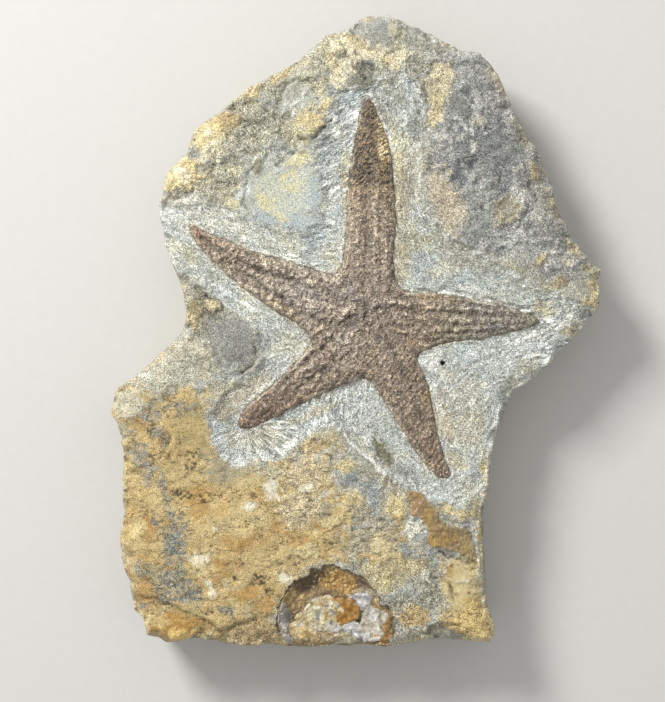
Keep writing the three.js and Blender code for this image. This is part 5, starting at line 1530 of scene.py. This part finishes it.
def druseSurface(x, y, inside):
    noise = partial(roughNoise, flatPlaces(x, y))
    big, shadeBig = crystals(x, y, 2.4, 1, 1.05)
    small, shadeSmall = crystals(x, y, 1.1, 2, 1.2)
    height = np.maximum(big - 0.9, small)
    shade = np.where(big - 0.9 > small, shadeBig, shadeSmall)
    rock = rockLevel(x, y)
    floor = druse["floor"] + 0.4 * noise(5, 2, 83) - 1.2 * ramp(-89, -92, y)
    floor += 1.2 * ramp(-18, -21.5, x) + 1.7 * ramp(4.5, 0.5, inside) * ramp(3, -5, x)
    z = np.maximum(floor + 0.55 * height, rock - 0.3 - 1.5 * np.maximum(inside, 0))
    z = np.minimum(z, rock - 0.05 - 0.9 * ramp(0.8, 0.1, inside))
    fine = noise(1.2, 3, 84)
    colour = np.tile(hexColour(druse["tone"]), (len(x), 1))
    for text, strength, marks in druse["tones"]:
        cover = ovalCover(x + fine, y + 0.5 * noise(2, 2, 85), marks) + 0.2 * fine
        colour = washOver(colour, text, strength * ramp(-0.3, 0.3, cover))
    # painted shade and highlight: each crystal face is made lighter or darker, and the brightest faces get
    # painted glints
    colour = colour * (0.7 + 0.6 * shade)[:, None]
    glints = ramp(0.88, 0.96, shade) * ramp(-0.2, 0.3, fine)
    return z, washOver(colour, druse["glint"], 0.8 * glints)


creamTones = ("#ddd0a8", "#c0a970", "#f1ead2")
ochreTones = ("#cfae72", "#ad8850", "#e3cd9c")
whiteTones = ("#d6d2c9", "#a5a09c", "#f3f1ea")
brownTones = ("#a08656", "#7d6740", "#c0a674")
# the crystals that fill the hollow: the level of each top, its tones (base, deep, light) and its outline
lumps = {
    "vug_amber_crystal": ("amber_calcite", 201, [
        (22.9, ("#dc9f42", "#bd8030", "#ecc274"), [
            (-6.4, -78.5), (-4.9, -78.1), (-2.9, -78.2), (-1, -78.7), (0.1, -79.9), (0.4, -81.7), (0, -83.4),
            (-1.4, -84), (-2.9, -84.5), (-4.5, -85.2), (-5.5, -84.2), (-5.6, -83), (-4.6, -82.2),
            (-4.3, -80.8), (-5.2, -79.7)]),
    ]),
    "vug_cream_lump": ("cream_calcite", 221, [
        (22.7, creamTones, [
            (-14, -80.4), (-12.4, -78.8), (-10.7, -77.8), (-8.7, -78.5), (-7.3, -80.4), (-6, -82.2),
            (-5.4, -84.4), (-6.6, -86.3), (-9.1, -86.9), (-11.3, -86.5), (-13, -85.4), (-14.5, -83.4),
            (-14.8, -81.7)]),
        (22.9, ("#e2cc9c", "#c9a566", "#f2e6c8"), [
            (-9.4, -77.9), (-7.9, -77.2), (-6.3, -78.1), (-5.1, -79.5), (-4, -80.9), (-3.8, -82.8),
            (-4.8, -83), (-6, -82), (-7.2, -80.5), (-8.5, -79.1)]),
        (22.6, ("#d9cbbb", "#b5a695", "#efe6da"), [
            (-7.5, -84.8), (-5.5, -84.9), (-4.6, -85.8), (-4.7, -86.8), (-6.4, -87.2), (-7.9, -86.3)]),
    ]),
    "vug_white_lump": ("white_calcite", 241, [
        (22.5, whiteTones, [
            (-1.5, -77.7), (0.3, -76.9), (2.3, -76.7), (4, -77.4), (5.2, -78.6), (4.9, -80.1), (3, -80.8),
            (1.2, -80.5), (-0.3, -79.7), (-1.4, -78.8)]),
        (22.6, ("#d9cfb6", "#b3a78e", "#f0ebdc"), [
            (2.8, -80.7), (4.8, -79.9), (6.7, -80.3), (8.5, -81.7), (8.9, -83.5), (8, -85.1), (6.7, -85.8),
            (7.8, -87.5), (6.7, -89.4), (4.3, -89.9), (2.3, -88.6), (1.4, -86.3), (2.1, -84.4),
            (2.5, -82.6)]),
        (22.8, ochreTones, [
            (5.2, -78.6), (6.5, -77.3), (8.3, -77.3), (9.4, -78.6), (8.7, -80.3), (7, -80.4), (4.9, -79.8)]),
    ]),
    "vug_cream_block": ("cream_calcite", 261, [
        (22.6, ("#dcc08a", "#c2a165", "#ead8ae"), [
            (-19.4, -86.2), (-17.7, -85), (-15.3, -84.5), (-13.5, -85.2), (-12.5, -86.6), (-13.2, -88),
            (-14.6, -89.6), (-16.2, -90.1), (-17.9, -88.9), (-19.3, -87.5)]),
        (22.5, ("#c3ab77", "#94804f", "#e0d2a6"), [
            (-17.3, -83.7), (-16.8, -82.7), (-15.8, -82.5), (-14.9, -83.1), (-14.8, -84.2), (-15.6, -85),
            (-16.7, -84.9)]),
    ]),
    "vug_grey_lump": ("white_calcite", 281, [
        (22.6, whiteTones, [
            (-3.6, -85.8), (-2, -84.7), (-0.1, -85.2), (1.7, -86.5), (3.2, -89.3), (1.6, -90.3),
            (0.2, -88.8), (-1.5, -87.7), (-2.9, -87.1)]),
        (22.2, ("#c0b38c", "#9c946c", "#dcd6bd"), [
            (-7, -87.1), (-4.2, -87.1), (-1.9, -87.8), (0.1, -89.3), (1.3, -90.5), (-2.4, -91.6),
            (-5.2, -91.2), (-6.6, -88.9)]),
        (22.3, ("#d8bf90", "#bb9a64", "#eadcbc"), [
            (-12.1, -87.9), (-10.9, -87.1), (-8.7, -87.4), (-6.8, -88.3), (-6.2, -89.8), (-8.6, -91.5),
            (-11.3, -91.7), (-12.7, -89.8)]),
        (22.4, brownTones, [
            (-9.9, -86.6), (-8.2, -85.9), (-6.8, -86.5), (-6.5, -87.8), (-8.2, -88), (-9.6, -87.6)]),
        (21.9, brownTones, [
            (-18.6, -90.5), (-16.2, -90), (-14.2, -89.7), (-12.6, -90), (-12.9, -91.6), (-15.8, -91.7),
            (-18, -91.6)]),
    ]),
    "vug_rust_column": ("rust_calcite", 301, [
        (22.5, ("#ad8446", "#7d6036", "#c9a262"), [
            (8.6, -80.3), (10.2, -80.7), (10.5, -83.9), (10, -85.7), (10.7, -87.5), (10.3, -90.2),
            (8.9, -91.4), (7.3, -91), (7, -88.8), (7.8, -87.1), (8.2, -85.3), (9.1, -83.5), (8.6, -81.7)]),
    ]),
}
# clouds that run on from one crystal to the next: colour, strength, then ovals
crystalClouds = [
    ("#a8aaa4", 0.75, [(-11.2, -83.4, 0.9, 2.4), (-7, -81.8, 0.6, 1.8, 30), (3.4, -82, 0.7, 1.3)]),
    ("#e8deb2", 0.8, [(-13, -81.8, 1.4, 2.4, 10), (-9.6, -85.4, 1.6, 0.8)]),
    ("#bd9c5e", 0.7, [
        (-8.7, -82.3, 1.1, 2.6), (-9.8, -79.2, 1.2, 0.8), (-12.6, -89.4, 0.8, 1),
        (-15, -88.6, 1.8, 0.6, 40)]),
    ("#f0e6d6", 0.75, [(-6.6, -85.8, 1.2, 0.8), (-5.4, -79.6, 0.7, 1.6, 40), (-16.4, -85.6, 1.4, 0.6, 20)]),
    ("#8f8f96", 0.75, [
        (0.4, -77.3, 1.4, 0.5), (3, -77.7, 1, 0.6), (-4.2, -87.4, 0.9, 0.6), (1.8, -89.6, 0.7, 1.2, 20)]),
    ("#f4f1ea", 0.75, [(1.6, -79.5, 2.2, 0.7, -10), (5.2, -83.4, 1.6, 1.8), (-0.6, -86.2, 1.6, 0.7, -30)]),
    ("#c08a4a", 0.7, [
        (7, -78.8, 1, 0.8), (-8.6, -88.6, 0.9, 0.8), (8.6, -81.4, 0.7, 1), (5.8, -88.8, 1.2, 0.6)]),
    # painted shade down the right side of the rust-coloured column
    ("#66543a", 0.7, [(10.1, -86, 0.6, 3.4), (9.6, -90.4, 1, 0.8)]),
]


def crystalMember(level, tones, loop, seed):   # one crystal of the filling: a low dome with broken faces
    def surface(x, y, inside):
        noise = partial(roughNoise, flatPlaces(x, y))
        facets, shade = crystals(x, y, 2.6, seed, 0.75, 0.1)
        cloud, fine = noise(2.2, 3, 90), noise(0.9, 3, 92)
        z = level + 0.45 * ramp(-0.3, 0.5, inside + 0.2 * cloud) - 0.5
        z += 0.3 * facets + 0.15 * cloud + 0.1 * fine
        z = np.minimum(z - 1.3 * ramp(-89.5, -92, y), rockLevel(x, y) + 0.3)
        base, deep, light = tones
        colour = np.tile(hexColour(base), (len(x), 1))
        colour = washOver(colour, deep, ramp(0.0, 0.5, cloud) * 0.75)
        colour = washOver(colour, light, ramp(0.0, 0.5, -cloud) * 0.75)
        for text, strength, marks in crystalClouds:
            cover = ovalCover(x + 0.4 * fine, y + 0.4 * cloud, marks)
            colour = washOver(colour, text, strength * ramp(-0.3, 0.6, cover))
        # painted shade: each crystal face lighter or darker, and darker along the crystal's edge where it
        # meets the next
        colour = colour * (0.73 + 0.3 * shade + 0.35 * fine)[:, None]
        return z, washOver(colour, "#7b684b", 0.45 * ramp(0.35, 0.0, inside + 0.2 * fine))
    return rockPatch(widened(loop, 0.7), 0.28, seed, surface, 3.2)


def joined(members):   # several closed bodies in one mesh
    points, triangles, looks = zip(*members)
    starts = np.cumsum([0] + [len(part) for part in points[:-1]])
    triangles = np.vstack([part + start for part, start in zip(triangles, starts)])
    return np.vstack(points), triangles, {"crystal": np.vstack([look["crystal"] for look in looks])}


# flaw is the size of the flaws in mm, cloudy how much light wanders inside
crystalFinish = {
    "brownCalcite": {"roughness": 0.42, "flaw": 0.3, "bump": 0.00016, "cloudy": 0.15},
    "creamCalcite": {"roughness": 0.5, "flaw": 0.25, "bump": 0.00014, "cloudy": 0.35},
    "contrast": 4.5,
    "coat": 0.15,
    "index": 1.6,
}


def glassyCalcite(name):
    # Calcite grown in open space or broken across: waxy to glassy faces over a cloudy inside, with fine
    # flaws that catch the light.
    finish = crystalFinish[name]
    material, tree, add, place = startMaterial(name)
    crystal = add("Attribute", {"attribute_name": "crystal"})
    flaw = add("TexNoise", {}, {
        "Vector": place, "Scale": perMetre(finish["flaw"]), "Detail": 3, "Roughness": 0.7, "Distortion": 0.6})
    swing = crystalFinish["contrast"] * 0.25
    cloud = add("MapRange", {}, {
        "Value": flaw, "From Min": 0.25, "From Max": 0.75, "To Min": 1 - swing, "To Max": 1 + swing})
    colour = add("VectorMath", {"operation": "SCALE"}, {0: crystal, "Scale": cloud})
    gloss = add("MapRange", {}, {
        "Value": flaw, "To Min": finish["roughness"] + 0.2, "To Max": finish["roughness"] - 0.1})
    finishSurface(tree, add, colour, gloss, finish["bump"], flaw)
    for socket, value in (
            ("IOR", crystalFinish["index"]), ("Coat Weight", crystalFinish["coat"]),
            ("Subsurface Weight", finish["cloudy"]), ("Subsurface Radius", (1, 0.8, 0.5)),
            ("Subsurface Scale", 0.001)):
        tree.nodes["Principled BSDF"].inputs[socket].default_value = value
    return material


def amberCalcite():
    # Honey calcite, clear enough to see into: light goes in, is soaked up on the blue side and comes
    # out orange.
    material, tree, add, place = startMaterial("amberCalcite")
    crystal = add("Attribute", {"attribute_name": "crystal"})
    shader = tree.nodes["Principled BSDF"]
    tree.links.new(crystal, shader.inputs["Base Color"])
    for socket, value in (("Transmission Weight", 0.4), ("IOR", crystalFinish["index"]), ("Roughness", 0.22)):
        shader.inputs[socket].default_value = value
    flaw = add("TexNoise", {}, {"Vector": place, "Scale": perMetre(0.8), "Detail": 3})
    bump = add("Bump", {}, {"Strength": 0.6, "Distance": 0.00012, "Height": flaw})
    tree.links.new(bump, shader.inputs["Normal"])
    inside = add("VolumeAbsorption", {}, {"Color": socketColour("#eeae4c"), "Density": 110})
    tree.links.new(inside, tree.nodes["Material Output"].inputs["Volume"])
    return material


brownCalcite, creamCalcite = glassyCalcite("brownCalcite"), glassyCalcite("creamCalcite")
points, triangles, looks = rockPatch(seam["outline"], seam["grain"], 83, seamSurface)
addPiece("calciteVein", points, triangles, ["calcite_vein"], brownCalcite, looks)
points, triangles, looks = rockPatch(widened(druse["outline"], 0.5), druse["grain"], 86, druseSurface)
lining = addPiece("vugDruse", points, triangles, ["vug_druse"], brownCalcite, looks)
lining.data.shade_flat()
lumpFinish = {
    "amber_calcite": amberCalcite(), "cream_calcite": creamCalcite, "white_calcite": creamCalcite,
    "rust_calcite": brownCalcite,
}
for node, (slot, seed, members) in lumps.items():
    points, triangles, looks = joined(
        [crystalMember(*member, seed + number) for number, member in enumerate(members)])
    first, *rest = node.split("_")
    name = first + "".join(word.capitalize() for word in rest)
    addPiece(name, points, triangles, [node], lumpFinish[slot], looks)


studio = {
    "paper": "#dedcd6",
    "fibre": 3,              # size of the paper's cloudy patches
    "world": "#f2f3f5",
    "worldStrength": 0.56,
    "keyPower": 8.5,
    "keyPlace": (-520, 560, 620),   # up and to the left of the slab
    "keySize": 300,
}


def makeStudio():
    bpy.ops.mesh.primitive_plane_add(size=6, location=(0, 0, -0.0002))
    floor = bpy.context.object
    floor.name = "studioFloor"
    material, tree, add, place = startMaterial("studioPaper")
    fibre = add("TexNoise", {}, {"Vector": place, "Scale": perMetre(studio["fibre"]), "Detail": 3})
    tone = add("MapRange", {}, {"Value": fibre, "To Min": 0.97, "To Max": 1.03})
    colour = add("VectorMath", {"operation": "SCALE"}, {
        0: hexColour(studio["paper"]), "Scale": tone})
    shader = tree.nodes["Principled BSDF"]
    tree.links.new(colour, shader.inputs["Base Color"])
    shader.inputs["Roughness"].default_value = 0.9
    floor.data.materials.append(material)
    lamp = bpy.data.lights.new("keyLight", "AREA")
    lamp.size = studio["keySize"] / metre
    lamp.energy = studio["keyPower"]
    key = bpy.data.objects.new("keyLight", lamp)
    bpy.context.scene.collection.objects.link(key)
    key.location = Vector(studio["keyPlace"]) / metre
    key.rotation_euler = (-key.location).to_track_quat("-Z", "Y").to_euler()
    world = bpy.data.worlds.new("studio")
    world.use_nodes = True
    background = world.node_tree.nodes["Background"]
    background.inputs["Color"].default_value = socketColour(studio["world"])
    background.inputs["Strength"].default_value = studio["worldStrength"]
    bpy.context.scene.world = world
    bpy.context.scene.view_settings.view_transform = "Standard"


makeStudio()
print("studio lit")
